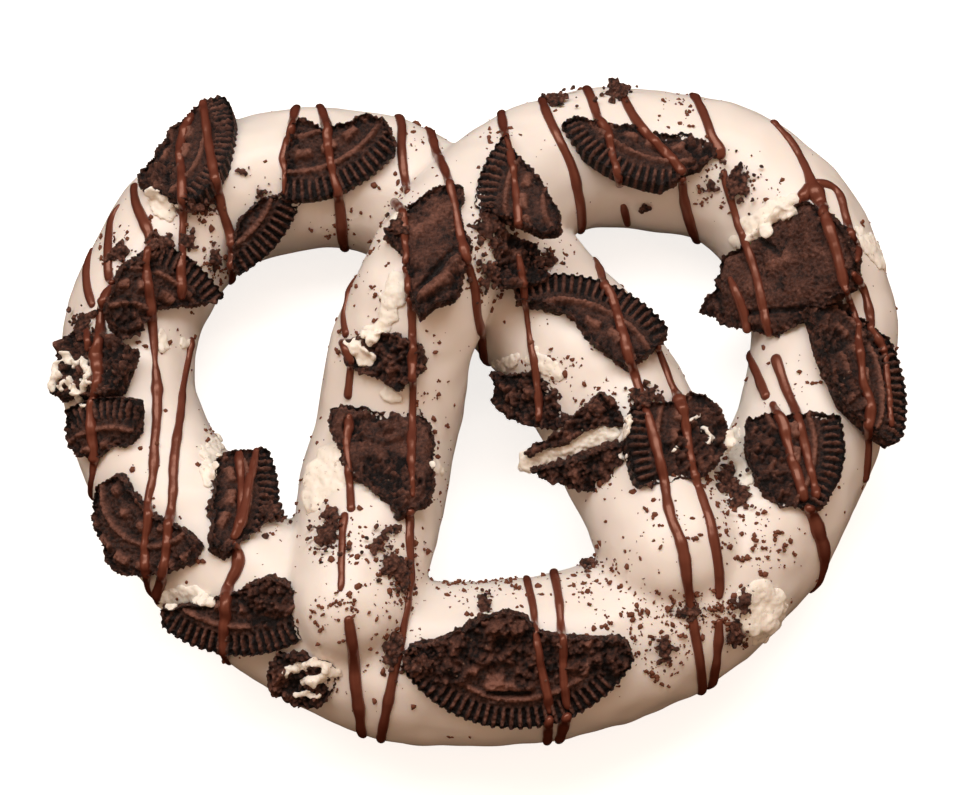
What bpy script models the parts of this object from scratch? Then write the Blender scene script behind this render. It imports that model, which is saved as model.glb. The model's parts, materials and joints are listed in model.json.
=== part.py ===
"""A soft pretzel dipped in white chocolate, strewn with broken cocoa sandwich cookies.

The pretzel is one rope of dough: a thick belly at the front, two loops, and two arms that cross at the back
and come forward to rest on the belly. Its coating has fused it into one solid with a flat foot. Every cookie
piece is broken from the same ribbed wafer, lies in the coating, and keeps a hair's gap to what is under it.
Milk chocolate stripes cross it. They and the larger crumbs are one with whatever they fell on.

Lengths are millimetres in the tables and metres in the model. +Z is up and the belly is towards -Y.
"""

import math
import random

import bmesh
import bpy
import numpy as np
from mathutils import Matrix, Vector, noise
from mathutils.bvhtree import BVHTree

MM = 0.001

# Clearance between solids that touch, and how far a cookie piece sinks into the coating.
GAP = 0.4 * MM
SINK = 1.7 * MM
SLOPE_REACH = 5
PIECE_FLAT_WITHIN = math.radians(3)
STREWN_FLAT_WITHIN = math.radians(3)

# Places are given as they show to an eye in front: right and up from VIEW_MIDDLE, on the plane through
# it that faces the eye. The eye looks at VIEW_AIM on that plane.
VIEW_ELEVATION = math.radians(72)
VIEW_DISTANCE = 413
VIEW_MIDDLE = (0, -1.5, 10)
VIEW_AIM = (2.4, 2.8)

# The coated rope from the middle of the belly round each loop to the end of its arm: x, y, z, radius.
LEFT_LOOP = [
    (0, -47.1, 11.4, 14.1),
    (-13, -46.6, 11.3, 13.8),
    (-26.6, -41.3, 11.1, 13.4),
    (-40.4, -32, 10.7, 13),
    (-51.3, -20.5, 10.3, 12.8),
    (-59.7, -5.5, 9.9, 11.8),
    (-62.5, 6.5, 9.7, 11.8),
    (-61.6, 18, 9.8, 12),
    (-57.2, 28, 10, 12.4),
    (-50.7, 36.8, 10.1, 12.7),
    (-40.8, 42, 10.1, 12.9),
    (-29, 44, 10, 12.9),
    (-17, 42.4, 9.9, 12.9),
    (-6.2, 36.4, 9.8, 12.8),
    (2.8, 28.3, 9.9, 13),
    (11.5, 18.5, 10.4, 13.5),
    (20, 6.7, 10.8, 13.7),
    (26.8, -6.6, 11.4, 13.6),
    (31, -17.4, 13.8, 13.0),
    (33.6, -29.2, 18.5, 12.2),
]
RIGHT_LOOP = [
    (0, -47.1, 11.4, 14.1),
    (13.5, -45.9, 11.3, 14.1),
    (27, -41.7, 11.1, 14),
    (39.2, -34.2, 11, 13.8),
    (48.7, -24.2, 10.7, 13.5),
    (54.8, -14, 10.4, 13.1),
    (59.2, -4.5, 10.2, 12.8),
    (61.8, 6.5, 10.3, 13),
    (62.6, 17, 10.4, 13.1),
    (59.8, 27.8, 10.5, 13.2),
    (54, 38, 10.4, 13),
    (45.7, 44.4, 10.3, 12.9),
    (35, 47.2, 10.2, 12.9),
    (24, 48, 10.2, 12.8),
    (12.3, 44.4, 12.5, 12.7),
    (2.8, 35.8, 17.5, 12.5),
    (-5, 25, 22.5, 12.3),
    (-10.2, 14.5, 22.5, 12.1),
    (-13.7, 5, 17, 12.7),
    (-16.2, -6.5, 12.4, 12.7),
    (-18.2, -18.5, 13.5, 12.9),
    (-19.3, -29, 18.5, 11.6),
    (-21.3, -39.4, 22.3, 10.2),
]
ROPE_STEP = 2.5
ROPE_SIDES = 20
ROPE_LUMPS = 0.022
COAT_VOXEL = 1.9 * MM
COAT_SMOOTHING = 9
COAT_SHRINKAGE = 0.35
COAT_KEPT_SHARE = 0.096

# The wafer that every cookie piece is broken from.
WAFER_RADIUS = 22.3
WAFER_THICKNESS = 3.4
WAFER_RIBS = 90
RIB_INNER_RADIUS = 18.4
RIB_CREST_RADIUS = 21.5
RIB_DEPTH = 0.7
BREAK_STEP = 3.4
BREAK_JAG = 0.42
DOLLOP_ROUGHNESS = 0.12

# Each cookie piece: where its middle shows, the slope of its plane's normal (left out, it follows the
# coating), how far it is raised, where the middle of its wafer shows, and its corners, going round
# anticlockwise. A piece without a wafer middle shows none of the ribbed rim.
SHARDS = {
    "shard_top_left": dict(
        at=(-51, 46), lean=(-0.2, 0.35), hub=(-13.6, 0.7), raised=0.6,
        corners=[(11, -4), (11, 6), (5.5, 10.4), (1.8, 10.2), (0, 7.9), (-3.6, 4.3), (-7.1, -2),
                 (-8.9, -5.5), (-4.5, -7.7), (-0.9, -9.1), (1.8, -9.5), (5.4, -7.3), (8, -6)]),
    "shard_top": dict(
        at=(-24.3, 44.6), raised=0.3, hub=(-7.5, 15.0),
        corners=[(11, -3), (9.8, 4), (8, 8), (4.6, 8.8), (2.4, 7.2), (-3, 6.4), (-6.6, 7.8),
                 (-8.9, 6.8), (-9.5, 0.5), (-10.4, -6), (-9, -9), (2, -12), (11, -6)]),
    "shard_loop_edge": dict(
        at=(-37, 31.5), lean=(0.3, -0.5), hub=(-14.6, 12.2), raised=2.4,
        corners=[(8.5, 3), (6, 6.6), (2.7, 8), (-1.5, 6.2), (-5.1, 3.1), (-5.9, -1), (-6.2, -5.6),
                 (-4, -8.8), (0, -10), (7, -4)]),
    "shard_left_upper": dict(
        at=(-54.6, 21.3), hub=(-7.3, -12.5), raised=1.2,
        corners=[(13, 1), (9, 8.5), (0, 11), (-3.6, 7.9), (-8, 4.3), (-9.5, 0.7), (-10.4, -2.9),
                 (-8, -8.2), (-5, -7.3), (-4.5, -4.6), (-0.9, -2.5), (7.1, -1.1)]),
    "shard_left_sandwich": dict(
        at=(-68.2, 8.1), lean=(-0.5, 0.0), hub=None, raised=0.8,
        corners=[(7.7, 3.2), (4.3, 5), (-3.4, 6.4), (-5.7, 5.4), (-6.6, 3.2), (-7.6, -5.0),
                 (-1.6, -5.2), (5.5, -4.3), (7, -0.4)]),
    "shard_left_edge": dict(
        at=(-66.0, -4.0), lean=(-0.5, -0.35), hub=(2, -16.0), raised=0.2,
        corners=[(6.3, 0.5), (6, 8), (-7, 8), (-7.2, 3), (-6.6, -1.5), (-4.6, -4.2), (0, -3.6),
                 (4.3, -1.3)]),
    "shard_left_lower": dict(
        at=(-59.8, -20.8), lean=(-0.5, -0.3), hub=(3, 8), raised=0.4,
        corners=[(10.9, -2), (6.3, 1.2), (1.6, 3.4), (-1.2, 7.2), (-3.8, 9.6), (-8.2, 7),
                 (-8.8, 1.6), (-6.4, -4.4), (-4.1, -8), (5.2, -7.7), (9.6, -5.5)]),
    "shard_loop_corner": dict(
        at=(-41.8, -16.3), lean=(0.35, 0.3), hub=(-15.8, 4), raised=1.0,
        corners=[(8, 8.6), (3, 9.2), (-2, 8.8), (-5.2, 7.6), (-5.4, 0), (-4.8, -7.1), (-2, -8.6),
                 (4, -4), (8, 2)]),
    "shard_belly_left": dict(
        at=(-43.2, -35.5), lean=(-0.25, -0.5), hub=(0.5, 15.7),
        corners=[(12.1, 4.2), (8.9, 6.0), (5.9, 6.5), (1.6, 4.2), (-3, 2.4), (-8, 1.4), (-13, 0.6),
                 (-13, -9), (12, -12), (12.4, -4)]),
    "shard_belly_cream": dict(
        at=(-30.4, -47.4), lean=(-0.15, -0.75), hub=None,
        corners=[(6.4, 1.1), (4.3, 4.1), (0, 4.9), (-5, 5), (-6.6, 1), (-6, -2.2), (-1.5, -4.9),
                 (2, -5), (5, -2)]),
    "shard_belly_front": dict(
        at=(7.9, -45.6), lean=(0.0, -0.5), hub=(-0.8, 13.0), raised=0.5,
        corners=[(20.5, 1), (19.1, 4.6), (17.9, 5.9), (10.7, 5.9), (3.6, 6.8), (0, 10),
                 (-2.7, 10.4), (-7.1, 9.1), (-12.5, 6.4), (-15.2, 5), (-19.6, 4.1), (-21, 1),
                 (-19, -8), (-8, -14), (8, -14), (19, -8)]),
    "shard_arm_upper": dict(
        at=(-16.2, 8.4), hub=None, raised=0.4,
        corners=[(7.1, -0.7), (6.3, 3.8), (1.8, 6.1), (-3.6, 5.4), (-7.3, 4.6), (-7, 0.8),
                 (-4, -0.8), (-0.9, -2), (2.7, -4.6), (5.4, -1.9)]),
    "shard_arm_lower": dict(
        at=(-16.6, -7.8), hub=None, raised=0.3,
        corners=[(9.3, -4.1), (8.4, 3.9), (5.7, 8.9), (1.3, 10.2), (-0.5, 7.5), (-5.9, 8.4),
                 (-9.8, 8), (-9.1, 3.9), (-6.8, -1.4), (-1.4, -6.8), (3, -10.4), (8.4, -7.7)]),
    "shard_crossing": dict(
        at=(-9.2, 28.9), lean=(0.0, 0.1), hub=None, raised=0.5,
        corners=[(8.2, 0.8), (6.4, 5), (6.8, 8), (6.6, 11), (4.6, 12.4), (0.2, 10.3), (-3, 8),
                 (-5.2, 5.6), (-7.3, 3.1), (-6, 1.7), (-3.4, -1), (-2.9, -3.7), (-2, -9),
                 (-0.7, -12.2), (2, -9.9), (5.5, -8.7), (6.6, -6.3), (7.3, -2.2)]),
    "shard_crossing_wedge": dict(
        at=(7.0, 39.6), lean=(-0.1, 0.15), hub=(15.6, -2.6), raised=2.6,
        corners=[(8, -6.8), (5.9, -0.9), (3.2, 2.7), (-1.6, 9.8), (-6, 9), (-9, 2), (-9, -3.2),
                 (-5.4, -4.6), (-1.8, -5.7), (1.3, -6.8), (4.5, -8.4), (7.5, -8.2)]),
    "shard_crossing_low": dict(
        at=(5.4, 27.0), lean=(0.2, -0.1), hub=None, raised=0.2,
        corners=[(7.2, -2.3), (6.1, 0), (5.2, 3), (1.1, 4.6), (-2.4, 5.4), (-2.6, 1.3),
                 (-2.2, -2.3), (-1.1, -4.6), (2.1, -4.6), (6, -4.1)]),
    "shard_right_arm_rim": dict(
        at=(19.7, 16.0), hub=(-4.7, -12.2), raised=0.9,
        corners=[(14.5, -1.2), (10, 9), (-2.7, 10), (-12.5, 9), (-12.6, 4.0), (-7.1, 2.9),
                 (-2.7, 0.6), (1.8, -4.3), (4.5, -6.3), (7.1, -8), (10.7, -5.6)]),
    "shard_arm_inner": dict(
        at=(10.2, 2.0), lean=(-0.4, -0.3), hub=None, raised=1.3,
        corners=[(8.6, -3.4), (8.2, -1.2), (6.2, 0.5), (3, 3.6), (0, 5.4), (-3.8, 4.6), (-7, 5.4),
                 (-7.3, -0.2), (-4.1, -3), (0.4, -4.6), (4, -4.6)]),
    "shard_arm_sandwich_low": dict(
        at=(19.0, -9.3), lean=(-0.15, -0.8), hub=None, raised=2.6,
        corners=[(7.4, -4.4), (7, 4.4), (3.6, 3.6), (-3, 0.9), (-9.6, -0.6), (-6.7, -1.8),
                 (-2, -3.6), (3.6, -4.7)]),
    "shard_arm_sandwich_high": dict(
        at=(18.0, -2.6), lean=(-0.15, -0.3), hub=None, raised=2.8,
        corners=[(8, 0.5), (7.6, 2.8), (6.3, 4.9), (4.1, 6.3), (1.4, 4.0), (-0.4, 2.2),
                 (-3, -0.4), (-7.7, -3.1), (-9.4, -4.5), (-8.2, -5.2), (-3, -3.0), (4.1, 0.2)]),
    "shard_arm_outer": dict(
        at=(36.6, -5.0), lean=(0.15, 0.0), hub=(12.8, -0.5), raised=1.8,
        corners=[(8.4, 1.1), (6.6, 5.5), (4.3, 8.2), (1.3, 8.6), (-0.2, 7.3), (-4.6, 6.4),
                 (-8.9, 6.4), (-11, 2), (-10, -8.2), (-1.6, -7.3), (3.4, -6.6), (8.2, -1.6)]),
    "shard_top_right": dict(
        at=(29.3, 44.7), lean=(0.08, 0.16), hub=(5.4, 14.4), raised=2.3,
        corners=[(14.6, 1.1), (7.1, 5), (3.6, 4.6), (-1, 5.8), (-8, 7.3), (-12, 8), (-17, 4),
                 (-13, -8), (0, -12), (4, -5), (8, -2.1)]),
    "shard_right_back": dict(
        at=(53.6, 25), hub=None, raised=0.4,
        corners=[(12.1, -3.4), (13, 2), (11.5, 6), (9.5, 9.1), (5.9, 12.1), (2.3, 11.8), (-3, 7),
                 (-8.4, 2.9), (-9.3, -2.5), (-12.5, -7), (-5.7, -9.6), (0.5, -11.4), (7, -7)]),
    "shard_right_edge": dict(
        at=(67.5, 6.9), lean=(0.5, 0.05), hub=(-11.6, -1), raised=1.2,
        corners=[(13, -4), (10.4, 3), (5.2, 7), (1.6, 10), (-3.2, 12.7), (-8.9, 11.8), (-7, 5),
                 (-5, -0.7), (-3, -5.4), (0.4, -8.8), (6, -13), (10, -10)]),
    "shard_right_lower": dict(
        at=(56.4, -8.7), hub=(-13.6, 3.0),
        corners=[(10, 2), (10, 8), (4.8, 8.0), (-0.4, 8.2), (-7.9, 7.2), (-8.4, 3.6), (-7.2, -2),
                 (-5.7, -5.9), (-2.1, -8.2), (4.5, -8.2), (8.5, -3)]),
}

# Filling from the sandwich cookies: a layer between two wafer pieces, and smears where it fell.
CREAM = {
    "cream_layer": dict(
        at=(18.2, -5.6), lean=(-0.15, -0.5), raised=2.9, tall=2.0,
        outline=[(5.6, 0.9), (6.2, 2.4), (1.2, 2.0), (-2.5, 0.3), (-6, -1.2), (-9, -2.2),
                 (-9.4, -3.8), (-6, -3.2), (-2.3, -1.4), (1.3, 0.2)]),
    "cream_on_left_piece": dict(
        at=(-71.0, 7.8), lean=(-0.5, 0.0), raised=4.4, tall=1.3,
        outline=[(3.6, 3), (0, 3.4), (-3.2, 1.6), (-3.8, -3.2), (0.5, -3.8), (3.8, -2.6)]),
    "cream_on_belly_piece": dict(
        at=(-29.8, -47.2), lean=(-0.15, -0.75), raised=3.4, tall=1.2,
        outline=[(4.8, 0), (1.2, 2.2), (-2.6, 1.6), (-3.6, -0.8), (0, -3), (3, -2.2)]),
    "cream_left_arm": dict(
        at=(-26.6, -11.4), lean=(-0.5, 0.1), raised=1.3, tall=2.0,
        outline=[(4.6, 4.4), (2.6, 6.0), (-0.6, 4.4), (-2.6, 0.4), (-3.8, -4.4), (-1.2, -5.4),
                 (2.8, -2.4), (4.6, 0)]),
    "cream_right_front": dict(
        at=(50.6, -35.4), lean=(0.4, -0.4), raised=0.6, tall=2.2,
        outline=[(3.4, 2.4), (0.4, 4.6), (-3.4, 3.4), (-3.6, -1.0), (-1.0, -4), (2.6, -2.6)]),
}

# The milk chocolate stripes: the points that each one runs through, as they show.
STRIPE_WIDTH = 1.7
STRIPE_HEIGHT = 0.8
STRIPE_SUNK = 0.45
STRIPE_STEP = 8
STRIPE_LONGEST_DROP = 2.2
STRIPE_STEEPEST = 0.12
STREWN_CLEARANCE = 0.5
STRIPES = [
    [(-68.5, 29), (-69.5, 24), (-68.5, 19)],
    [(-64, 37), (-65.5, 30), (-66, 22), (-67.5, 13), (-68.5, 0), (-68.5, -10), (-68.5, -18)],
    [(-61, 40), (-59, 34), (-58.5, 20), (-57, 4), (-57.5, -10), (-59, -16), (-59, -26), (-57, -33)],
    [(-52.5, 52), (-53, 45), (-52, 38), (-52.5, 21)],
    [(-48.5, 56), (-47.5, 50), (-46, 42), (-44, 33), (-43.5, 24)],
    [(-51, 13), (-53, 2), (-54, -7), (-55, -21), (-57, -32)],
    [(-32, 54), (-33.5, 48), (-34, 39)],
    [(-28, 55), (-26.5, 51), (-25.5, 43), (-24, 35), (-23.5, 29)],
    [(-13, 53), (-13, 47), (-12.5, 39)],
    [(-14, 38), (-12, 27), (-11.5, 11), (-11.5, -6), (-11.5, -15)],
    [(-11.5, -18), (-11, -26), (-12.5, -37), (-15, -49), (-16.5, -57)],
    [(-9.5, 52), (-7.5, 48), (-3.5, 36), (-0.5, 24), (1.5, 12), (2, 3)],
    [(4.5, 53), (5, 50), (7, 40), (7.5, 34)],
    [(8, 28), (9, 18), (10.5, 6), (11, -1)],
    [(11.5, 56), (16, 46), (18.5, 34), (20.5, 29), (25, 17), (29.5, 2), (33, -11), (36.5, -25),
     (38.5, -35), (40.5, -48)],
    [(20.5, 57), (21.5, 53), (24.5, 47), (26, 40), (26.5, 36)],
    [(25, 58), (27.5, 54), (32, 48), (36, 44), (37.5, 34)],
    [(39, 57), (41, 51), (43.5, 46)],
    [(44, 44), (46, 35), (49.5, 28), (51.5, 20), (52.5, 15)],
    [(46.5, 22), (48.5, 15)],
    [(55, 50), (60.5, 41), (63, 34), (65.5, 25), (67, 16), (68.5, 10), (70, -1), (69.5, -10)],
    [(60.5, 41), (65, 39), (66.5, 32), (68, 28)],
    [(68, 25), (70, 21), (70.5, 16), (73, 11), (73.5, 5), (74, -2)],
    [(48.5, 11), (52, 3)],
    [(53, 2), (55.5, -3), (57.5, -10), (58.5, -15)],
    [(53.5, 10), (55.5, 3), (57.5, 0), (59.5, -8), (61, -15)],
    [(59.5, -17), (62, -21), (62.5, -28)],
    [(32.5, 12), (35, 3), (37, -2), (39, -10), (41, -16), (43, -24), (43.5, -32)],
    [(43.5, -37), (43.5, -42), (42.5, -48)],
    [(9, -29), (10, -36), (11.5, -44), (12.5, -53)],
    [(14, -28), (15, -36), (15.5, -45), (16.5, -53)],
    [(-23.5, 23), (-23, 14)],
    [(-23.5, 12), (-22.5, 3)],
    [(-23, 0), (-23, -10), (-22.5, -18)],
    [(-23.5, -18), (-24, -31)],
    [(-22.5, -37), (-21.5, -44), (-20.5, -56)],
    [(-42, -8), (-41.5, -15), (-43, -22), (-42.5, -26), (-44.5, -32), (-45, -42)],
]

# Larger crumbs, as they show: across, up, radius.
CRUMBS = [
    (-36, -17.6, 2.7), (46.8, 41.2, 2.6), (14, 55.8, 2.6), (25, 57.5, 2.5), (-26.8, -22.4, 2.5),
    (-25.4, -19.4, 2), (-15, -27.4, 2.6), (-13.4, -29.8, 2), (-17.8, -23.4, 1.9), (1.6, -34.1, 2.1),
    (20.4, -27, 2), (45, -12.4, 2.3), (47.4, -15.2, 2.1), (30, 2.8, 2.2), (-63.8, 28.8, 1.9),
    (-14, 33.6, 1.7), (38, -35.4, 1.8), (46.4, -39.2, 1.7), (-71.5, 14.6, 1.8), (33.6, -42.2, 2),
]
CRUMB_JAG = 0.24


def clear_scene():
    for thing in list(bpy.data.objects):
        bpy.data.objects.remove(thing, do_unlink=True)


def material(name, colour, roughness):
    """A plain food surface of one colour."""
    made = bpy.data.materials.new(name)
    made.use_nodes = True
    shader = made.node_tree.nodes["Principled BSDF"]
    shader.inputs["Base Color"].default_value = (*colour, 1)
    shader.inputs["Roughness"].default_value = roughness
    shader.inputs["Metallic"].default_value = 0
    return made


def mesh_object(name, shape, finish=None):
    """A scene object from a bmesh, with its faces turned outwards."""
    bmesh.ops.recalc_face_normals(shape, faces=shape.faces)
    mesh = bpy.data.meshes.new(name)
    shape.to_mesh(mesh)
    shape.free()
    made = bpy.data.objects.new(name, mesh)
    bpy.context.scene.collection.objects.link(made)
    if finish:
        mesh.materials.append(finish)
    return made


def bake_modifiers(thing):
    """Replaces an object's mesh by what its modifiers make of it."""
    bpy.context.view_layer.update()
    graph = bpy.context.evaluated_depsgraph_get()
    old = thing.data
    thing.data = bpy.data.meshes.new_from_object(thing.evaluated_get(graph))
    thing.modifiers.clear()
    bpy.data.meshes.remove(old)


def boolean(thing, operation, others):
    """One Boolean with a collection of others, applied. The others are then removed.

    The exact solver empties some of these cuts, so they all use the manifold one.
    """
    group = bpy.data.collections.new("others")
    bpy.context.scene.collection.children.link(group)
    for other in others:
        bpy.context.scene.collection.objects.unlink(other)
        group.objects.link(other)
    step = thing.modifiers.new(operation, "BOOLEAN")
    step.operation = operation
    step.operand_type = "COLLECTION"
    step.collection = group
    step.solver = "MANIFOLD"
    bake_modifiers(thing)
    for other in others:
        bpy.data.objects.remove(other, do_unlink=True)
    bpy.data.collections.remove(group)


def keep_largest(thing):
    """Drops the loose scraps that a cut leaves."""
    shape = bmesh.new()
    shape.from_mesh(thing.data)
    left = set(shape.faces)
    islands = []
    while left:
        front = [left.pop()]
        island = set(front)
        while front:
            for edge in front.pop().edges:
                for face in edge.link_faces:
                    if face not in island:
                        island.add(face)
                        front.append(face)
        left -= island
        islands.append(island)
    largest = max(islands, key=lambda island: sum(face.calc_area() for face in island))
    scraps = [face for island in islands if island is not largest for face in island]
    bmesh.ops.delete(shape, geom=scraps, context="FACES")
    shape.to_mesh(thing.data)
    shape.free()


def simplify(thing, flat_within):
    """Merges slivers and faces that are almost in a plane, as far as the mesh stays closed."""
    for angle in (flat_within, flat_within / 3, 0):
        shape = bmesh.new()
        shape.from_mesh(thing.data)
        bmesh.ops.dissolve_degenerate(shape, dist=0.02 * MM, edges=shape.edges)
        bmesh.ops.dissolve_limit(shape, angle_limit=angle, verts=shape.verts, edges=shape.edges)
        bmesh.ops.triangulate(shape, faces=shape.faces)
        closed = all(one.is_manifold for one in shape.edges[:] + shape.verts[:])
        if closed:
            shape.to_mesh(thing.data)
        shape.free()
        if closed:
            return


def through(points, step):
    """A smooth curve through the points (centripetal Catmull-Rom), sampled about every step."""
    points = np.array(points, float)
    ends = np.vstack([2 * points[0] - points[1], points, 2 * points[-1] - points[-2]])
    made = []
    for i in range(len(points) - 1):
        a, b, c, d = ends[i : i + 4]
        spans = [math.sqrt(np.linalg.norm(q[:3] - p[:3])) for p, q in ((a, b), (b, c), (c, d))]
        knots = np.cumsum([0] + spans)
        count = max(2, round(np.linalg.norm((c - b)[:3]) / step))
        for t in np.linspace(knots[1], knots[2], count, endpoint=False):
            ab = a + (b - a) * (t - knots[0]) / (knots[1] - knots[0])
            bc = b + (c - b) * (t - knots[1]) / (knots[2] - knots[1])
            cd = c + (d - c) * (t - knots[2]) / (knots[3] - knots[2])
            abc = ab + (bc - ab) * (t - knots[0]) / (knots[2] - knots[0])
            bcd = bc + (cd - bc) * (t - knots[1]) / (knots[3] - knots[1])
            made.append(abc + (bcd - abc) * (t - knots[1]) / (knots[2] - knots[1]))
    return np.array(made + [points[-1]])


def skin_rings(shape, rings):
    """Faces between rings of equal count, and over both ends."""
    for below, above in zip(rings, rings[1:]):
        for i in range(len(below)):
            j = (i + 1) % len(below)
            shape.faces.new((below[i], below[j], above[j], above[i]))
    shape.faces.new(list(reversed(rings[0])))
    shape.faces.new(rings[-1])


def rope_of_dough():
    """The coated rope as one tube with round ends, which runs through itself where the arms cross."""
    route = through(LEFT_LOOP[::-1] + RIGHT_LOOP[1:], ROPE_STEP)
    centre, radius = route[:, :3], route[:, 3] + COAT_SHRINKAGE
    along = np.gradient(centre, axis=0)
    along /= np.linalg.norm(along, axis=1)[:, None]
    stations = list(zip(centre, along, radius))
    caps = np.linspace(math.radians(80), 0, 6, endpoint=False)
    for turns, end, way in ((caps, 0, -1), (caps[::-1], -1, 1)):
        middle, forward, size = centre[end], along[end], radius[end]
        dome = [(middle + way * forward * size * math.sin(a), forward, size * math.cos(a)) for a in turns]
        stations = dome + stations if end == 0 else stations + dome
    shape = bmesh.new()
    rings = []
    for middle, forward, size in stations:
        side = np.cross(forward, (0, 0, 1))
        side /= np.linalg.norm(side)
        above = np.cross(side, forward)
        ring = []
        for k in range(ROPE_SIDES):
            turn = 2 * math.pi * k / ROPE_SIDES
            out = side * math.cos(turn) + above * math.sin(turn)
            lump = 1 + ROPE_LUMPS * noise.noise(Vector(middle + out * size) / 11)
            ring.append(shape.verts.new(Vector((middle + out * size * lump) * MM)))
        rings.append(ring)
    skin_rings(shape, rings)
    return mesh_object("coated_pretzel", shape)


def flatten_foot(thing):
    """Cuts the underside level where the coating set on its tray."""
    shape = bmesh.new()
    shape.from_mesh(thing.data)
    everything = shape.verts[:] + shape.edges[:] + shape.faces[:]
    bmesh.ops.bisect_plane(
        shape, geom=everything, dist=0.02 * MM, plane_co=(0, 0, 0), plane_no=(0, 0, 1), clear_inner=True)
    rim = [edge for edge in shape.edges if edge.is_boundary]
    bmesh.ops.triangle_fill(shape, use_beauty=True, use_dissolve=False, edges=rim)
    bmesh.ops.recalc_face_normals(shape, faces=shape.faces)
    shape.to_mesh(thing.data)
    shape.free()


def coated_pretzel(finish):
    """The rope fused with itself, its creases filled with coating, and its foot flat."""
    body = rope_of_dough()
    fuse = body.modifiers.new("fuse", "REMESH")
    fuse.mode = "VOXEL"
    fuse.voxel_size = COAT_VOXEL
    fill = body.modifiers.new("fill creases", "SMOOTH")
    fill.factor = 0.5
    fill.iterations = COAT_SMOOTHING
    fewer = body.modifiers.new("fewer faces", "DECIMATE")
    fewer.ratio = COAT_KEPT_SHARE
    bake_modifiers(body)
    flatten_foot(body)
    body.data.materials.append(finish)
    body.data.shade_smooth()
    return body


def view_axes():
    """Right, up and back of the plane that faces the eye."""
    up = Vector((0, math.sin(VIEW_ELEVATION), math.cos(VIEW_ELEVATION)))
    back = Vector((0, -math.cos(VIEW_ELEVATION), math.sin(VIEW_ELEVATION)))
    return Vector((1, 0, 0)), up, back


def sight(across, up):
    """The eye, and the direction from it to a place in the view."""
    right, high, back = view_axes()
    middle = Vector(VIEW_MIDDLE)
    eye = middle + right * VIEW_AIM[0] + high * VIEW_AIM[1] + back * VIEW_DISTANCE
    place = middle + right * across + high * up
    return eye * MM, (place - eye).normalized()


def surface_tree(thing):
    """The object's surface in world space, for finding points on it."""
    mesh = thing.data
    mesh.calc_loop_triangles()
    points = [thing.matrix_world @ vert.co for vert in mesh.vertices]
    return BVHTree.FromPolygons(points, [tuple(t.vertices) for t in mesh.loop_triangles])


def hit(trees, across, up):
    """The first surface met at a place in the view: its name, point and normal."""
    eye, towards = sight(across, up)
    found = []
    for name, tree in trees.items():
        point, normal, _, far = tree.ray_cast(eye, towards)
        if point is not None:
            found.append((far, name, point, normal))
    return min(found, key=lambda one: one[0])[1:] if found else None


def set_in_plane(thing, point, lean):
    """Moves an object so that its own XY plane lies at the point and leans by the slope of its normal."""
    normal = Vector((lean[0], lean[1], 1)).normalized()
    side = Vector((0, 1, 0)).cross(normal).normalized()
    turn = Matrix((side, normal.cross(side), normal)).transposed()
    thing.matrix_world = Matrix.Translation(point) @ turn.to_4x4()
    bpy.context.view_layer.update()


def as_shown(thing, place):
    """The point of a set object's own plane that shows at an offset from its middle, in its own metres."""
    right, high, back = view_axes()
    turn = thing.matrix_world.to_3x3()
    one, two = turn.col[0], turn.col[1]
    seen = Matrix(((one.dot(right), two.dot(right)), (one.dot(high), two.dot(high))))
    ahead = thing.matrix_world.translation / MM - Vector(VIEW_MIDDLE)
    nearness = 1 - ahead.dot(back) / VIEW_DISTANCE
    return seen.inverted() @ (Vector(place) * nearness * MM)


def jagged(corners, step, jag, draw):
    """A broken outline: more points along each side, each pushed in or out by chance."""
    made = []
    for a, b in zip(corners, corners[1:] + corners[:1]):
        side = b - a
        count = max(1, round(side.length / step))
        across = Vector((-side.y, side.x)).normalized()
        for k in range(count):
            push = draw.uniform(-jag, jag) * (1 if k else 0.4)
            made.append(a + side * (k / count) + across * push)
    return made


def prism(outline, levels, jag, draw):
    """A closed block over an outline, with a ring of corners at each level, roughened by chance."""
    shape = bmesh.new()
    rings = []
    for level, height in enumerate(levels):
        rough = jag if 0 < level < len(levels) - 1 else jag * 0.3
        ring = []
        for point in outline:
            place = (point.x + draw.uniform(-rough, rough), point.y + draw.uniform(-rough, rough), height)
            ring.append(shape.verts.new(place))
        rings.append(ring)
    skin_rings(shape, rings)
    return shape


def whole_wafer(hub):
    """A round wafer with radial ribs round its rim, flat below."""
    shape = bmesh.new()
    centre = Vector((hub.x, hub.y, 0))
    top = WAFER_THICKNESS * MM

    def ring(radius, count, height, shift=0.0):
        made = []
        for k in range(count):
            turn = 2 * math.pi * (k + shift) / count
            out = Vector((math.cos(turn) * radius * MM, math.sin(turn) * radius * MM, height))
            made.append(shape.verts.new(centre + out))
        return made

    base = ring(WAFER_RADIUS, WAFER_RIBS, 0)
    crest = ring(RIB_CREST_RADIUS, WAFER_RIBS, top)
    groove = ring(RIB_CREST_RADIUS - 0.2, WAFER_RIBS, top - RIB_DEPTH * MM, 0.5)
    inner = ring(RIB_INNER_RADIUS, WAFER_RIBS, top, 0.5)
    for k in range(WAFER_RIBS):
        j = (k + 1) % WAFER_RIBS
        for corners in (
            (base[k], base[j], groove[k]),
            (base[k], groove[k], crest[k]),
            (base[j], crest[j], groove[k]),
            (crest[k], groove[k], inner[k]),
            (groove[k], crest[j], inner[k]),
            (crest[j], inner[j], inner[k]),
        ):
            shape.faces.new(corners)
    shape.faces.new(inner)
    shape.faces.new(list(reversed(base)))
    return shape


def on_coating(trees, across, up):
    """The point of the coating at a place in the view, or the nearest one to a place off its edge."""
    coat = trees["coated_pretzel"]
    met = hit({"coat": coat}, across, up)
    if met:
        return met[1]
    eye, towards = sight(across, up)
    reach = [eye + towards * (VIEW_DISTANCE + step) * MM for step in range(-25, 15)]
    return min(((coat.find_nearest(p)[3], p) for p in reach), key=lambda one: one[0])[1]


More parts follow.
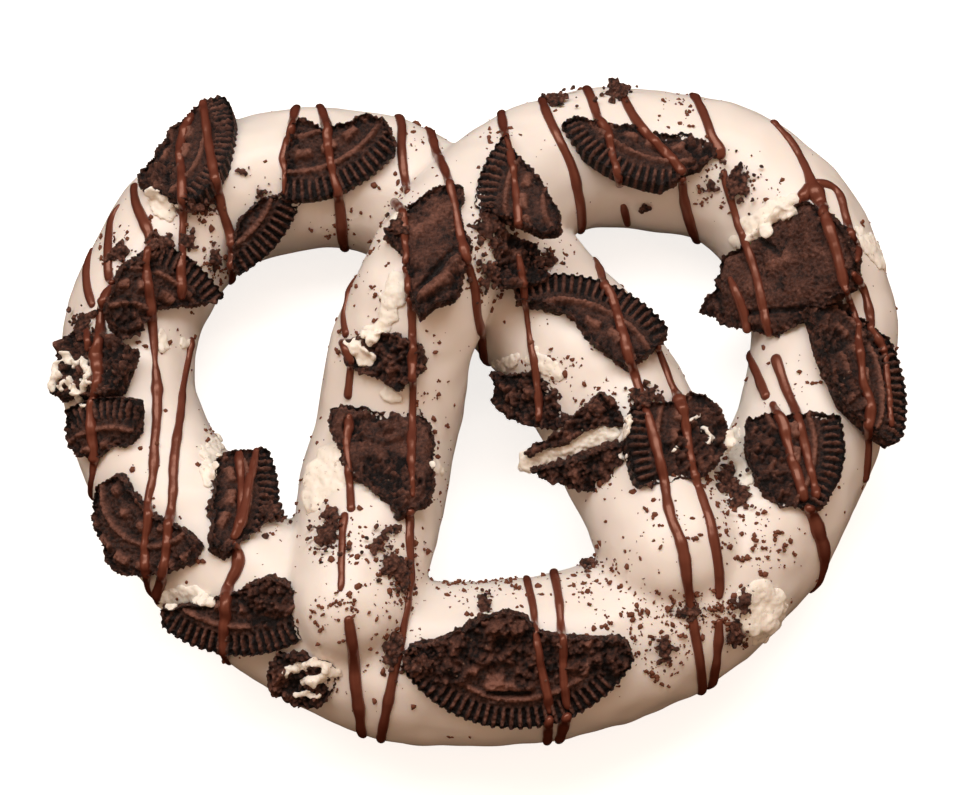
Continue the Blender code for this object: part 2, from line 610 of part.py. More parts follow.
def coating_slope(trees, across, up):
    """The slope of the coating's normal, averaged around a place in the view."""
    coat = trees["coated_pretzel"]
    around = [(0, 0), (SLOPE_REACH, 0), (-SLOPE_REACH, 0), (0, SLOPE_REACH), (0, -SLOPE_REACH)]
    met = [hit({"coat": coat}, across + a, up + b) for a, b in around]
    normal = sum((one[2] for one in met if one), Vector())
    return normal.x / normal.z, normal.y / normal.z


def placed(name, at, lean, raised, tall, trees):
    """An empty object set on the coating, sunk into it and then raised, as high as tall when it is filled.

    It lies so that its middle, at half that height, shows at the place in the view.
    """
    point = on_coating(trees, *at)
    lean = lean or coating_slope(trees, *at)
    thing = bpy.data.objects.new(name, bpy.data.meshes.new(name))
    bpy.context.scene.collection.objects.link(thing)
    normal = Vector((lean[0], lean[1], 1)).normalized()
    set_in_plane(thing, point + normal * (raised * MM - SINK), lean)
    right, high, _ = view_axes()
    above = normal * (raised + tall / 2 - SINK / MM)
    back = as_shown(thing, (-above.dot(right), -above.dot(high)))
    thing.matrix_world @= Matrix.Translation((back.x, back.y, 0))
    bpy.context.view_layer.update()
    return thing


def take_shape(thing, shape, finish):
    bmesh.ops.recalc_face_normals(shape, faces=shape.faces)
    shape.to_mesh(thing.data)
    shape.free()
    thing.data.materials.append(finish)


def shard(name, trees, finish, at, hub, corners, lean=None, raised=0.0):
    """One broken piece of wafer, set on the coating."""
    draw = random.Random(name)
    thing = placed(name, at, lean, raised, WAFER_THICKNESS, trees)
    outline = jagged([as_shown(thing, c) for c in corners], BREAK_STEP * MM, BREAK_JAG * MM, draw)
    if hub is None:
        levels = (0, 0.45 * WAFER_THICKNESS * MM, WAFER_THICKNESS * MM)
        take_shape(thing, prism(outline, levels, BREAK_JAG * MM, draw), finish)
        return thing
    take_shape(thing, whole_wafer(as_shown(thing, hub)), finish)
    levels = (-2 * MM, 0.5 * WAFER_THICKNESS * MM, (WAFER_THICKNESS + 2) * MM)
    cutter = mesh_object("break", prism(outline, levels, BREAK_JAG * MM, draw))
    cutter.matrix_world = thing.matrix_world
    boolean(thing, "INTERSECT", [cutter])
    return thing


def dollop(name, trees, finish, at, lean, raised, tall, outline):
    """A smear of filling: a low mound over an outline."""
    draw = random.Random(name)
    thing = placed(name, at, lean, raised, tall, trees)
    rim = [as_shown(thing, corner) for corner in outline]
    rim = jagged(rim, 2.2 * MM, 0.25 * MM, draw)
    middle = sum(rim, Vector((0, 0))) / len(rim)
    shape = bmesh.new()
    rings = []
    for inward, height in ((0, -1.2), (0, 0.45), (0.18, 0.85), (0.5, 1.0)):
        level = (height * tall if height > 0 else height) * MM
        points = [p + (middle - p) * inward for p in rim]
        rough = DOLLOP_ROUGHNESS * tall * MM if height > 0 else 0
        rings.append([shape.verts.new((p.x, p.y, level + draw.uniform(-rough, rough))) for p in points])
    skin_rings(shape, rings)
    take_shape(thing, shape, finish)
    return thing


def swollen(thing, grow):
    """A copy that is larger by grow all round, to cut a neighbour with."""
    copy = bpy.data.objects.new("swollen", thing.data.copy())
    bpy.context.scene.collection.objects.link(copy)
    copy.matrix_world = thing.matrix_world
    shape = bmesh.new()
    shape.from_mesh(copy.data)
    shape.normal_update()
    moves = []
    for vert in shape.verts:
        faces = vert.link_faces
        push = sum((f.normal * f.calc_area() for f in faces), Vector())
        push.normalize()
        least = max(0.45, min(push.dot(f.normal) for f in faces))
        moves.append(push * (grow / least))
    for vert, move in zip(shape.verts, moves):
        vert.co += move
    shape.to_mesh(copy.data)
    shape.free()
    return copy


def near(one, other, margin=1.0 * MM):
    """Whether two objects' boxes come within a margin."""
    def box(thing):
        points = [thing.matrix_world @ v.co for v in thing.data.vertices]
        return [(min(p[k] for p in points) - margin, max(p[k] for p in points) + margin) for k in range(3)]
    return all(a[0] <= b[1] and b[0] <= a[1] for a, b in zip(box(one), box(other)))


def settle(thing, laid):
    """Cuts away what would lie inside the coating or inside pieces that were laid before."""
    cutters = [swollen(other, GAP) for other in laid if near(thing, other)]
    boolean(thing, "DIFFERENCE", cutters)
    keep_largest(thing)
    simplify(thing, PIECE_FLAT_WITHIN)


def clear_of_others(trees, host, point, distance):
    """Whether a point keeps its distance from every solid but the one that it lies on."""
    return all(name == host or tree.find_nearest(point)[3] > distance for name, tree in trees.items())


def stripe_runs(trees, points):
    """A stripe as it falls: stretches of (point, normal), each on one solid and clear of the others."""
    runs = []
    last = None
    for across, up, _ in through([(*p, 0) for p in points], 0.8):
        met = hit(trees, across, up)
        reach = (STRIPE_WIDTH / 2 + STREWN_CLEARANCE) * MM
        if met is None or met[2].z < STRIPE_STEEPEST or not clear_of_others(trees, *met[:2], reach):
            last = None
            continue
        host = met[0]
        if host != last or (met[1] - runs[-1][1][-1][0]).length > STRIPE_LONGEST_DROP * MM:
            runs.append((host, []))
        runs[-1][1].append(met[1:])
        last = host
    return [(host, run) for host, run in runs if len(run) > 3]


def bead(run):
    """A stretch of stripe as a three-sided bar, half sunk in what it lies on."""
    count = max(2, round((run[-1][0] - run[0][0]).length / (STRIPE_STEP * MM)) + 1)
    picks = [run[round(k)] for k in np.linspace(0, len(run) - 1, count)]
    shape = bmesh.new()
    rings = []
    for k, (point, normal) in enumerate(picks):
        along = (picks[min(k + 1, count - 1)][0] - picks[max(k - 1, 0)][0]).normalized()
        side = along.cross(normal).normalized() * (STRIPE_WIDTH / 2 * MM)
        crown = normal * (STRIPE_HEIGHT * MM)
        low = normal * (STRIPE_SUNK * MM)
        rings.append([shape.verts.new(point + move) for move in (side - low, crown, -side - low)])
    skin_rings(shape, rings)
    return mesh_object("bead", shape)


def crumb(point, normal, radius, draw):
    """An angular crumb, half sunk."""
    shape = bmesh.new()
    bmesh.ops.create_icosphere(shape, subdivisions=1, radius=radius * MM)
    for vert in shape.verts:
        vert.co *= 1 + draw.uniform(-CRUMB_JAG, CRUMB_JAG)
    squash = Matrix.Diagonal((1.1, 0.9, 0.75))
    turn = normal.to_track_quat("Z", "Y").to_matrix() @ Matrix.Rotation(draw.uniform(0, 6), 3, "Z") @ squash
    middle = Matrix.Translation(point + normal * radius * 0.15 * MM)
    bmesh.ops.transform(shape, matrix=middle @ turn.to_4x4(), verts=shape.verts)
    return mesh_object("crumb", shape)


def strew(solids):
    """Lays the stripes and the larger crumbs, and fuses each with what it fell on."""
    trees = {thing.name: surface_tree(thing) for thing in solids}
    draw = random.Random("crumbs")
    laid = {}
    for points in STRIPES:
        for host, run in stripe_runs(trees, points):
            laid.setdefault(host, []).append(bead(run))
    for across, up, radius in CRUMBS:
        met = hit(trees, across, up)
        if met and clear_of_others(trees, met[0], met[1], (radius * 1.25 + STREWN_CLEARANCE) * MM):
            laid.setdefault(met[0], []).append(crumb(met[1], met[2], radius, draw))
    for thing in solids:
        pieces = laid.get(thing.name)
        if pieces:
            back = thing.matrix_world.copy()
            thing.data.transform(back)
            thing.matrix_world = Matrix.Identity(4)
            boolean(thing, "UNION", pieces)
            thing.data.transform(back.inverted())
            thing.matrix_world = back
            keep_largest(thing)
            simplify(thing, STREWN_FLAT_WITHIN)


def main():
    clear_scene()
    white = material("white chocolate", (0.86, 0.75, 0.62), 0.35)
    cocoa = material("cocoa wafer", (0.042, 0.022, 0.015), 0.75)
    filling = material("vanilla filling", (0.88, 0.80, 0.68), 0.6)
    body = coated_pretzel(white)
    trees = {body.name: surface_tree(body)}
    laid = [body]
    for name, facts in SHARDS.items():
        piece = shard(name, trees, cocoa, **facts)
        settle(piece, laid)
        laid.append(piece)
    for name, facts in CREAM.items():
        piece = dollop(name, trees, filling, **facts)
        settle(piece, laid)
        laid.append(piece)
    strew(laid)
    for thing in laid:
        thing.data.set_sharp_from_angle(angle=math.radians(35))


main()
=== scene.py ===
"""A soft pretzel dipped in white chocolate, with broken cocoa cookies, filling, crumbs and stripes.

The coating is one smooth body with a flat foot. Each broken cookie piece, each lump of filling and the
coating stand for the CAD node of the same place. The stripes and crumbs lie on what they fell on. Lengths
are millimetres in the tables and metres in the model. +Z is up and the thick front of the rope is
towards -Y.
"""

import json
import math
import random

import bmesh
import bpy
import numpy as np
from bpy.props import FloatProperty, FloatVectorProperty, IntProperty, PointerProperty
from mathutils import Matrix, Vector, noise
from mathutils.bvhtree import BVHTree

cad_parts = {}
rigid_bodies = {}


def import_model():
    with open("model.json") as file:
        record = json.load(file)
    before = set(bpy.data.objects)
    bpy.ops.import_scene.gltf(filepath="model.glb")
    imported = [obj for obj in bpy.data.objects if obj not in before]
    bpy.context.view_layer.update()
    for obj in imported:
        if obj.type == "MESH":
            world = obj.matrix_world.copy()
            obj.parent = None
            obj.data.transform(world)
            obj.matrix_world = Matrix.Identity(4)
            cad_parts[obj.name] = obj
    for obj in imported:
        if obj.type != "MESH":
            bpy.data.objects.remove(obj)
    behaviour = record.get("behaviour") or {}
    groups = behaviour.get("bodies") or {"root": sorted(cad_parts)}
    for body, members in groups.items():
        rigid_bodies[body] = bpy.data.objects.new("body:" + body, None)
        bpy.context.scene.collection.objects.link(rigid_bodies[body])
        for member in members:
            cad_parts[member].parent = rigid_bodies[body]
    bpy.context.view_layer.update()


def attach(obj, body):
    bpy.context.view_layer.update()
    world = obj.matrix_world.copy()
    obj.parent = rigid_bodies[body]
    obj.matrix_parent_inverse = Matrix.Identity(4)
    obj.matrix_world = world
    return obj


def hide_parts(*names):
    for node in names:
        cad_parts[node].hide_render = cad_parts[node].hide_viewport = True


bl_info = {
    "name": "Chocolate Covered Pretzel",
    "version": (1, 0, 0),
    "blender": (4, 5, 0),
    "location": "View3D > Sidebar > Pretzel",
    "description": "Makes the coating, cookie pieces, filling, stripes and crumbs of a dipped pretzel",
    "category": "Add Mesh",
}

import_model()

MM = 0.001

# Places in the tables are given as they show to an eye in front: right and up from VIEW_MIDDLE, on the
# plane through it that faces the eye. The eye looks at VIEW_AIM on that plane. EYE is in metres.
VIEW_ELEVATION = math.radians(72)
VIEW_DISTANCE = 413
VIEW_MIDDLE = Vector((0, -1.5, 10))
VIEW_AIM = (2.4, 2.8)
RIGHT = Vector((1, 0, 0))
HIGH = Vector((0, math.sin(VIEW_ELEVATION), math.cos(VIEW_ELEVATION)))
BACK = Vector((0, -math.cos(VIEW_ELEVATION), math.sin(VIEW_ELEVATION)))
EYE = (VIEW_MIDDLE + RIGHT * VIEW_AIM[0] + HIGH * VIEW_AIM[1] + BACK * VIEW_DISTANCE) * MM

# The broad light stands behind, in metres. The soft light comes most from above and a little in front,
# and more from the sides than from behind. FILL_RANGE is where it begins and where it is full, as the
# cosine of the angle from FILL_FROM.
KEY_PLACE = (-0.08, 0.36, 0.73)
KEY_AIM = (0, 0, 0.01)
KEY_SIZE = (1.2, 0.35)
KEY_COLOUR = (0.96, 0.985, 1.0)
FILL_FROM = (0, -0.08, 0.997)
FILL_RANGE = (-0.2, 0.9)
FILL_COLOUR = "#ffd4b4"
SIDE_FILL = 2.0
FLOOR_REACH = 1.5
LENS = 85
SENSOR = 36

# The coated rope from the middle of the belly round each loop to the end of its arm: x, y, z, radius.
LEFT_LOOP = [
    (0, -47.1, 11.4, 14.1),
    (-13, -46.6, 11.3, 13.8),
    (-26.6, -41.3, 11.1, 13.4),
    (-40.4, -32, 10.7, 13),
    (-51.3, -20.5, 10.3, 12.8),
    (-59.7, -5.5, 9.9, 11.8),
    (-62.5, 6.5, 9.7, 11.8),
    (-61.6, 18, 9.8, 12),
    (-57.2, 28, 10, 12.4),
    (-50.7, 36.8, 10.1, 12.7),
    (-40.8, 42, 10.1, 12.9),
    (-29, 44, 10, 12.9),
    (-17, 42.4, 9.9, 12.9),
    (-6.2, 36.4, 9.8, 12.8),
    (2.8, 28.3, 9.9, 13),
    (11.5, 18.5, 10.4, 13.5),
    (20, 6.7, 10.8, 13.7),
    (26.8, -6.6, 11.4, 13.6),
    (31, -17.4, 13.8, 13.0),
    (33.6, -29.2, 18.5, 12.2),
]
RIGHT_LOOP = [
    (0, -47.1, 11.4, 14.1),
    (13.5, -45.9, 11.3, 14.1),
    (27, -41.7, 11.1, 14),
    (39.2, -34.2, 11, 13.8),
    (48.7, -24.2, 10.7, 13.5),
    (54.8, -14, 10.4, 13.1),
    (59.2, -4.5, 10.2, 12.8),
    (61.8, 6.5, 10.3, 13),
    (62.6, 17, 10.4, 13.1),
    (59.8, 27.8, 10.5, 13.2),
    (54, 38, 10.4, 13),
    (45.7, 44.4, 10.3, 12.9),
    (35, 47.2, 10.2, 12.9),
    (24, 48, 10.2, 12.8),
    (12.3, 44.4, 12.5, 12.7),
    (2.8, 35.8, 17.5, 12.5),
    (-5, 25, 22.5, 12.3),
    (-10.2, 14.5, 22.5, 12.1),
    (-13.7, 5, 17, 12.7),
    (-16.2, -6.5, 12.4, 12.7),
    (-18.2, -18.5, 13.5, 12.9),
    (-19.3, -29, 18.5, 11.6),
    (-21.3, -39.4, 22.3, 10.2),
]
ROPE_SIDES = 64
ROPE_STEP = 1.2
ROPE_LUMPS = 11

# Slow waves of the coating's skin: height, length and seed of each.
WAVES = [(0.6, 9, 0), (0.2, 4, 2)]

# Each cookie piece: where its middle shows, the slope of its plane's normal (left out, it follows the
# coating), how far it is raised, where the middle of its wafer shows (left out, it has no ribbed rim), the
# look of its face (plain or crumbled, and embossed where left out), and its corners, going round
# anticlockwise. Some have chips, which are crumbled patches (place and reach), or bars, which are ridges
# and grooves (two ends, half width and height), and one has a boss, an oval pressed in rings.
COOKIES = {
    "top_left": dict(
        at=(-51, 46), lean=(-0.2, 0.35), hub=(-13.6, 0.7), raised=0.6,
        chips=[(-4.5, -4, 3.2)],
        corners=[(11, -4), (11, 6), (5.5, 10.4), (1.8, 10.2), (0, 7.9), (-3.6, 4.3), (-7.1, -2),
                 (-8.9, -5.5), (-4.5, -7.7), (-0.9, -9.1), (1.8, -9.5), (5.4, -7.3), (8, -6)]),
    "top": dict(
        at=(-24.3, 44.6), raised=0.3, hub=(-7.5, 15.0),
        corners=[(11, -3), (9.8, 4), (8, 8), (4.6, 8.8), (2.4, 7.2), (-3, 6.4), (-6.6, 7.8),
                 (-8.9, 6.8), (-9.5, 0.5), (-10.4, -6), (-9, -9), (2, -12), (11, -6)]),
    "loop_edge": dict(
        at=(-37, 31.5), lean=(0.3, -0.5), hub=(-14.6, 12.2), raised=2.4,
        corners=[(8.5, 3), (6, 6.6), (2.7, 8), (-1.5, 6.2), (-5.1, 3.1), (-5.9, -1), (-6.2, -5.6),
                 (-4, -8.8), (0, -10), (7, -4)]),
    "left_upper": dict(
        at=(-54.6, 21.3), hub=(-7.3, -12.5), raised=1.2,
        chips=[(-4.5, 6.5, 2.6), (4, 7, 2.4), (-7, -5, 2.4)],
        corners=[(13, 1), (9, 8.5), (0, 11), (-3.6, 7.9), (-8, 4.3), (-9.5, 0.7), (-10.4, -2.9),
                 (-8, -8.2), (-5, -7.3), (-4.5, -4.6), (-0.9, -2.5), (7.1, -1.1)]),
    "left_sandwich": dict(
        at=(-68.2, 8.1), lean=(-0.5, 0.0), raised=0.8, face="crumbled",
        corners=[(7.7, 3.2), (4.3, 5), (-3.4, 6.4), (-5.7, 5.4), (-6.6, 3.2), (-7.6, -5.0),
                 (-1.6, -5.2), (5.5, -4.3), (7, -0.4)]),
    "left_edge": dict(
        at=(-66.0, -4.0), lean=(-0.5, -0.35), hub=(2, -16.0), raised=0.2,
        corners=[(6.3, 0.5), (6, 8), (-7, 8), (-7.2, 3), (-6.6, -1.5), (-4.6, -4.2), (0, -3.6),
                 (4.3, -1.3)]),
    "left_lower": dict(
        at=(-59.8, -20.8), lean=(-0.5, -0.3), hub=(3, 8), raised=0.4,
        corners=[(10.9, -2), (6.3, 1.2), (1.6, 3.4), (-1.2, 7.2), (-3.8, 9.6), (-8.2, 7),
                 (-8.8, 1.6), (-6.4, -4.4), (-4.1, -8), (5.2, -7.7), (9.6, -5.5)]),
    "loop_corner": dict(
        at=(-41.8, -16.3), lean=(0.35, 0.3), hub=(-15.8, 4), raised=1.0,
        corners=[(8, 8.6), (3, 9.2), (-2, 8.8), (-5.2, 7.6), (-5.4, 0), (-4.8, -7.1), (-2, -8.6),
                 (4, -4), (8, 2)]),
    "belly_left": dict(
        at=(-43.2, -35.5), lean=(-0.25, -0.5), hub=(0.5, 15.7), raised=0.6,
        chips=[(6, 2.5, 4.2)],
        corners=[(12.1, 4.2), (8.9, 6.0), (5.9, 6.5), (1.6, 4.2), (-3, 2.4), (-8, 1.4), (-13, 0.6),
                 (-13, -9), (12, -12), (12.4, -4)]),
    "belly_cream": dict(
        at=(-30.4, -47.4), lean=(-0.15, -0.75), face="crumbled",
        corners=[(6.4, 1.1), (4.3, 4.1), (0, 4.9), (-5, 5), (-6.6, 1), (-6, -2.2), (-1.5, -4.9),
                 (2, -5), (5, -2)]),
    "belly_front": dict(
        at=(7.9, -45.6), lean=(0.0, -0.5), hub=(-0.8, 13.0), raised=0.5,
        chips=[(-13, 2, 5), (-3, 5.5, 5), (7, 3.5, 4.5), (16, 2.5, 3.6), (1, 0, 3)],
        bars=[(-5.7, -2.7, 1.6, -2.7, 0.8, 1.0), (-5.7, -4.1, 1.6, -4.1, 0.4, -0.8),
              (-13, 0.6, -10.4, -0.9, 0.9, 0.9), (-4.9, 7.8, -0.4, 7.2, 0.8, 0.8),
              (-8.4, 2.6, -5.4, 1.6, 0.8, 0.8), (-3.4, 2.4, -1.6, 4.6, 0.7, 0.8),
              (3.2, 3.4, 5.2, 0.8, 0.8, 0.8), (9.6, 0.8, 14, 1.8, 0.8, 0.8)],
        corners=[(20.5, 1), (19.1, 4.6), (17.9, 5.9), (10.7, 5.9), (3.6, 6.8), (0, 10),
                 (-2.7, 10.4), (-7.1, 9.1), (-12.5, 6.4), (-15.2, 5), (-19.6, 4.1), (-21, 1),
                 (-19, -8), (-8, -14), (8, -14), (19, -8)]),
    "arm_upper": dict(
        at=(-16.2, 8.4), raised=0.4, face="crumbled",
        corners=[(7.1, -0.7), (6.3, 3.8), (1.8, 6.1), (-3.6, 5.4), (-7.3, 4.6), (-7, 0.8),
                 (-4, -0.8), (-0.9, -2), (2.7, -4.6), (5.4, -1.9)]),
    "arm_lower": dict(
        at=(-16.6, -7.8), raised=0.3, face="plain", boss=(-0.6, 4.6),
        chips=[(1, -5.5, 5.2), (-6, 4, 2.4)],
        corners=[(9.3, -4.1), (8.4, 3.9), (5.7, 8.9), (1.3, 10.2), (-0.5, 7.5), (-5.9, 8.4),
                 (-9.8, 8), (-9.1, 3.9), (-6.8, -1.4), (-1.4, -6.8), (3, -10.4), (8.4, -7.7)]),
    "crossing": dict(
        at=(-9.2, 28.9), lean=(0.0, 0.1), raised=0.5, face="plain",
        bars=[(-1.4, -8.0, 5.6, -0.8, 0.6, -1.0), (-0.2, -8.8, 6.6, -3.2, 0.9, 0.9),
              (0.0, -9.8, 5.6, -6.6, 0.5, -0.9), (-1.6, 2.6, 3.8, 6.9, 1.1, 0.55)],
        corners=[(8.2, 0.8), (6.4, 5), (6.8, 8), (6.6, 11), (4.6, 12.4), (0.2, 10.3), (-3, 8),
                 (-5.2, 5.6), (-7.3, 3.1), (-6, 1.7), (-3.4, -1), (-2.9, -3.7), (-2, -9),
                 (-0.7, -12.2), (2, -9.9), (5.5, -8.7), (6.6, -6.3), (7.3, -2.2)]),
    "crossing_wedge": dict(
        at=(7.0, 39.6), lean=(-0.1, 0.15), hub=(15.6, -2.6), raised=3.3,
        corners=[(8, -6.8), (5.9, -0.9), (3.2, 2.7), (-1.6, 9.8), (-6, 9), (-9, 2), (-9, -3.2),
                 (-5.4, -4.6), (-1.8, -5.7), (1.3, -6.8), (4.5, -8.4), (7.5, -8.2)]),
    "crossing_low": dict(
        at=(5.4, 27.0), lean=(0.2, -0.1), raised=0.2, face="crumbled",
        corners=[(7.2, -2.3), (6.1, 0), (5.2, 3), (1.1, 4.6), (-2.4, 5.4), (-2.6, 1.3),
                 (-2.2, -2.3), (-1.1, -4.6), (2.1, -4.6), (6, -4.1)]),
    "right_arm_rim": dict(
        at=(19.7, 16.0), hub=(-4.7, -12.2), raised=0.9,
        chips=[(-9, 2, 2.6)],
        corners=[(14.5, -1.2), (10, 9), (-2.7, 10), (-12.5, 9), (-12.6, 4.0), (-7.1, 2.9),
                 (-2.7, 0.6), (1.8, -4.3), (4.5, -6.3), (7.1, -8), (10.7, -5.6)]),
    "arm_inner": dict(
        at=(10.2, 2.0), lean=(-0.4, -0.3), raised=1.3, face="crumbled",
        corners=[(8.6, -3.4), (8.2, -1.2), (6.2, 0.5), (3, 3.6), (0, 5.4), (-3.8, 4.6), (-7, 5.4),
                 (-7.3, -0.2), (-4.1, -3), (0.4, -4.6), (4, -4.6)]),
    "arm_sandwich_low": dict(
        at=(19.0, -9.3), lean=(-0.15, -0.8), raised=2.6, face="crumbled",
        corners=[(7.4, -4.4), (7, 4.4), (3.6, 3.6), (-3, 0.9), (-9.6, -0.6), (-6.7, -1.8),
                 (-2, -3.6), (3.6, -4.7)]),
    "arm_sandwich_high": dict(
        at=(18.0, -2.6), lean=(-0.15, -0.3), raised=2.8, face="crumbled",
        corners=[(8, 0.5), (7.6, 2.8), (6.3, 4.9), (4.1, 6.3), (1.4, 4.0), (-0.4, 2.2),
                 (-3, -0.4), (-7.7, -3.1), (-9.4, -4.5), (-8.2, -5.2), (-3, -3.0), (4.1, 0.2)]),
    "arm_outer": dict(
        at=(36.6, -5.0), lean=(0.15, 0.0), hub=(12.8, -0.5), raised=1.8,
        chips=[(0.5, -2.5, 3.2), (5, 2.5, 4.2), (5, -3, 3.6)],
        corners=[(8.4, 1.1), (6.6, 5.5), (4.3, 8.2), (1.3, 8.6), (-0.2, 7.3), (-4.6, 6.4),
                 (-8.9, 6.4), (-11, 2), (-10, -8.2), (-1.6, -7.3), (3.4, -6.6), (8.2, -1.6)]),
    "top_right": dict(
        at=(29.3, 44.7), lean=(0.08, 0.16), hub=(5.4, 14.4), raised=2.3,
        chips=[(10, 2.2, 3.4)],
        corners=[(14.6, 1.1), (7.1, 5), (3.6, 4.6), (-1, 5.8), (-8, 7.3), (-12, 8), (-17, 4),
                 (-13, -8), (0, -12), (4, -5), (8, -2.1)]),
    "right_back": dict(
        at=(53.6, 25), raised=0.4, face="plain",
        bars=[(-2.6, 6.5, 1.4, 3.0, 0.5, -0.9), (0.4, 1.6, 2, 2.2, 1.8, 0.5),
              (-4.6, -7.2, 6, -6.6, 0.5, -0.8)],
        corners=[(12.1, -3.4), (13, 2), (11.5, 6), (9.5, 9.1), (5.9, 12.1), (2.3, 11.8), (-3, 7),
                 (-8.4, 2.9), (-9.3, -2.5), (-12.5, -7), (-5.7, -9.6), (0.5, -11.4), (7, -7)]),
    "right_edge": dict(
        at=(67.5, 6.9), lean=(0.5, 0.05), hub=(-11.6, -1), raised=1.2,
        chips=[(-6, 7, 3.6), (-3, -3, 3.4), (2, 6.5, 2.2)],
        corners=[(13, -4), (10.4, 3), (5.2, 7), (1.6, 10), (-3.2, 12.7), (-8.9, 11.8), (-7, 5),
                 (-5, -0.7), (-3, -5.4), (0.4, -8.8), (6, -13), (10, -10)]),
    "right_lower": dict(
        at=(56.4, -8.7), hub=(-13.6, 3.0),
        chips=[(-4, 2, 3.2), (-3, -4.5, 3.4)],
        corners=[(10, 2), (10, 8), (4.8, 8.0), (-0.4, 8.2), (-7.9, 7.2), (-8.4, 3.6), (-7.2, -2),
                 (-5.7, -5.9), (-2.1, -8.2), (4.5, -8.2), (8.5, -3)]),
}

# The relief of a wafer's face, from its middle outwards: radius, half width and height of what is raised.
# The face lies lower than the rim, and the rim's outer edge falls off.
WAFER_RIBS = 90
RIB_BAND = (18.3, 19.1)
RAISED_RINGS = [(17.0, 0.5, 0.85), (10.4, 0.5, 0.8), (4.2, 0.55, 0.8)]
RAISED_DASHES = dict(radius=13.9, half_width=0.85, height=0.95, count=19, share=0.66)
RAISED_DOTS = dict(radius=7.3, half_width=0.95, height=0.9, count=11)
FACE_DEPTH = 0.45
RIM_DROP = 0.55
BOSS = dict(rings=(1.0, 3.3), half_width=0.62, height=0.95, reach=5.0, depth=0.4, stretch=(0.8, 1.15))

# How wafer crumbles: the sizes of its lumps and grains, the least and most that rubble rises, the deepest
# that anything is worn, and the steps and jags of a broken outline.
BIG_LUMPS = 3.2
SMALL_LUMPS = 1.1
GRAINS = 1.3
SPECKS = 0.7
FINE_GRAIN = 0.5
FACE_WAVES = 5.0
PLAIN_WAVES = 6.5
RUBBLE_RANGE = (-0.9, 1.3)
DEEPEST_CUT = 1.0
BREAK_STEP = 3.4
BREAK_JAG = 0.42

# How deep a piece is sunk into the coating, and how far around it the coating's slope is averaged.
SINK = 1.7
SLOPE_REACH = 5

# Filling: the CAD node that each lump stands for, and where its middle shows, its plane, its height and its
# outline. A lump that broke into ridges has only them: the points that each runs through, as they show, and
# its width.
FILLING = {
    "layer": dict(
        node="cream_layer", at=(18.2, -5.6), lean=(-0.15, -0.5), raised=2.9, tall=1.8, roughness=0.4,
        outline=[(5.6, 0.9), (6.2, 2.4), (1.2, 2.0), (-2.5, 0.3), (-6, -1.2), (-9, -2.2),
                 (-9.4, -3.8), (-6, -3.2), (-2.3, -1.4), (1.3, 0.2)]),
    "on_left_piece": dict(
        node="cream_on_left_piece",
        ridges=[([(-76, 9.8), (-75.2, 7.6), (-75.8, 5)], 1.7), ([(-76, 4.4), (-74.4, 4.8)], 1.2),
                ([(-73.6, 10.8), (-72.4, 8.8), (-70.8, 9.4), (-69.6, 6.8), (-70.2, 4.2)], 1.5),
                ([(-73, 6.2), (-71.8, 3.6), (-70.4, 1.8)], 1.3)]),
    "on_belly_piece": dict(
        node="cream_on_belly_piece",
        ridges=[([(-34, -46.6), (-31.6, -45.2), (-28.6, -44.6), (-26.2, -45.2)], 1.3),
                ([(-30.6, -48), (-28.2, -47.6), (-26.2, -46.2), (-24.6, -46.2)], 1.6),
                ([(-32.4, -50.4), (-30.2, -50), (-28.2, -50.6)], 1.1)]),
    "left_arm": dict(
        node="cream_left_arm", at=(-26.6, -11.4), lean=(-0.5, 0.1), raised=1.3, tall=2.0,
        outline=[(4.6, 4.4), (2.6, 6.0), (-0.6, 4.4), (-2.6, 0.4), (-3.8, -4.4), (-1.2, -5.4),
                 (2.8, -2.4), (4.6, 0)]),
    "right_front": dict(
        node="cream_right_front", at=(50.6, -35.4), lean=(0.4, -0.4), raised=0.6, tall=2.2,
        outline=[(3.4, 2.4), (0.4, 4.6), (-3.4, 3.4), (-3.6, -1.0), (-1.0, -4), (2.6, -2.6)]),
}

# What lumps of filling, smears and clumps of crumbs are made with: the grid in millimetres, rounds of
# smoothing, roughness in millimetres, and how flat or angular their balls are.
FILLING_LUMP = dict(voxel=0.22, smoothing=16, roughness=0.12, flatness=0.4)
SMEAR = dict(voxel=0.22, smoothing=12, roughness=0.16, flatness=0.35)
CRUMB_CLUMP = dict(voxel=0.185, smoothing=0, roughness=0.12, angular=0.35)

# The step along a smear and the dabs at each, the fewest balls in a heap and those more for each square
# millimetre, and the grains of a clump for each one that its table counts.
SMEAR_STEP = 0.5
DABS = 6
HEAP_LEAST = 16
HEAP_DENSITY = 2.0
GRAINS_EACH = 5

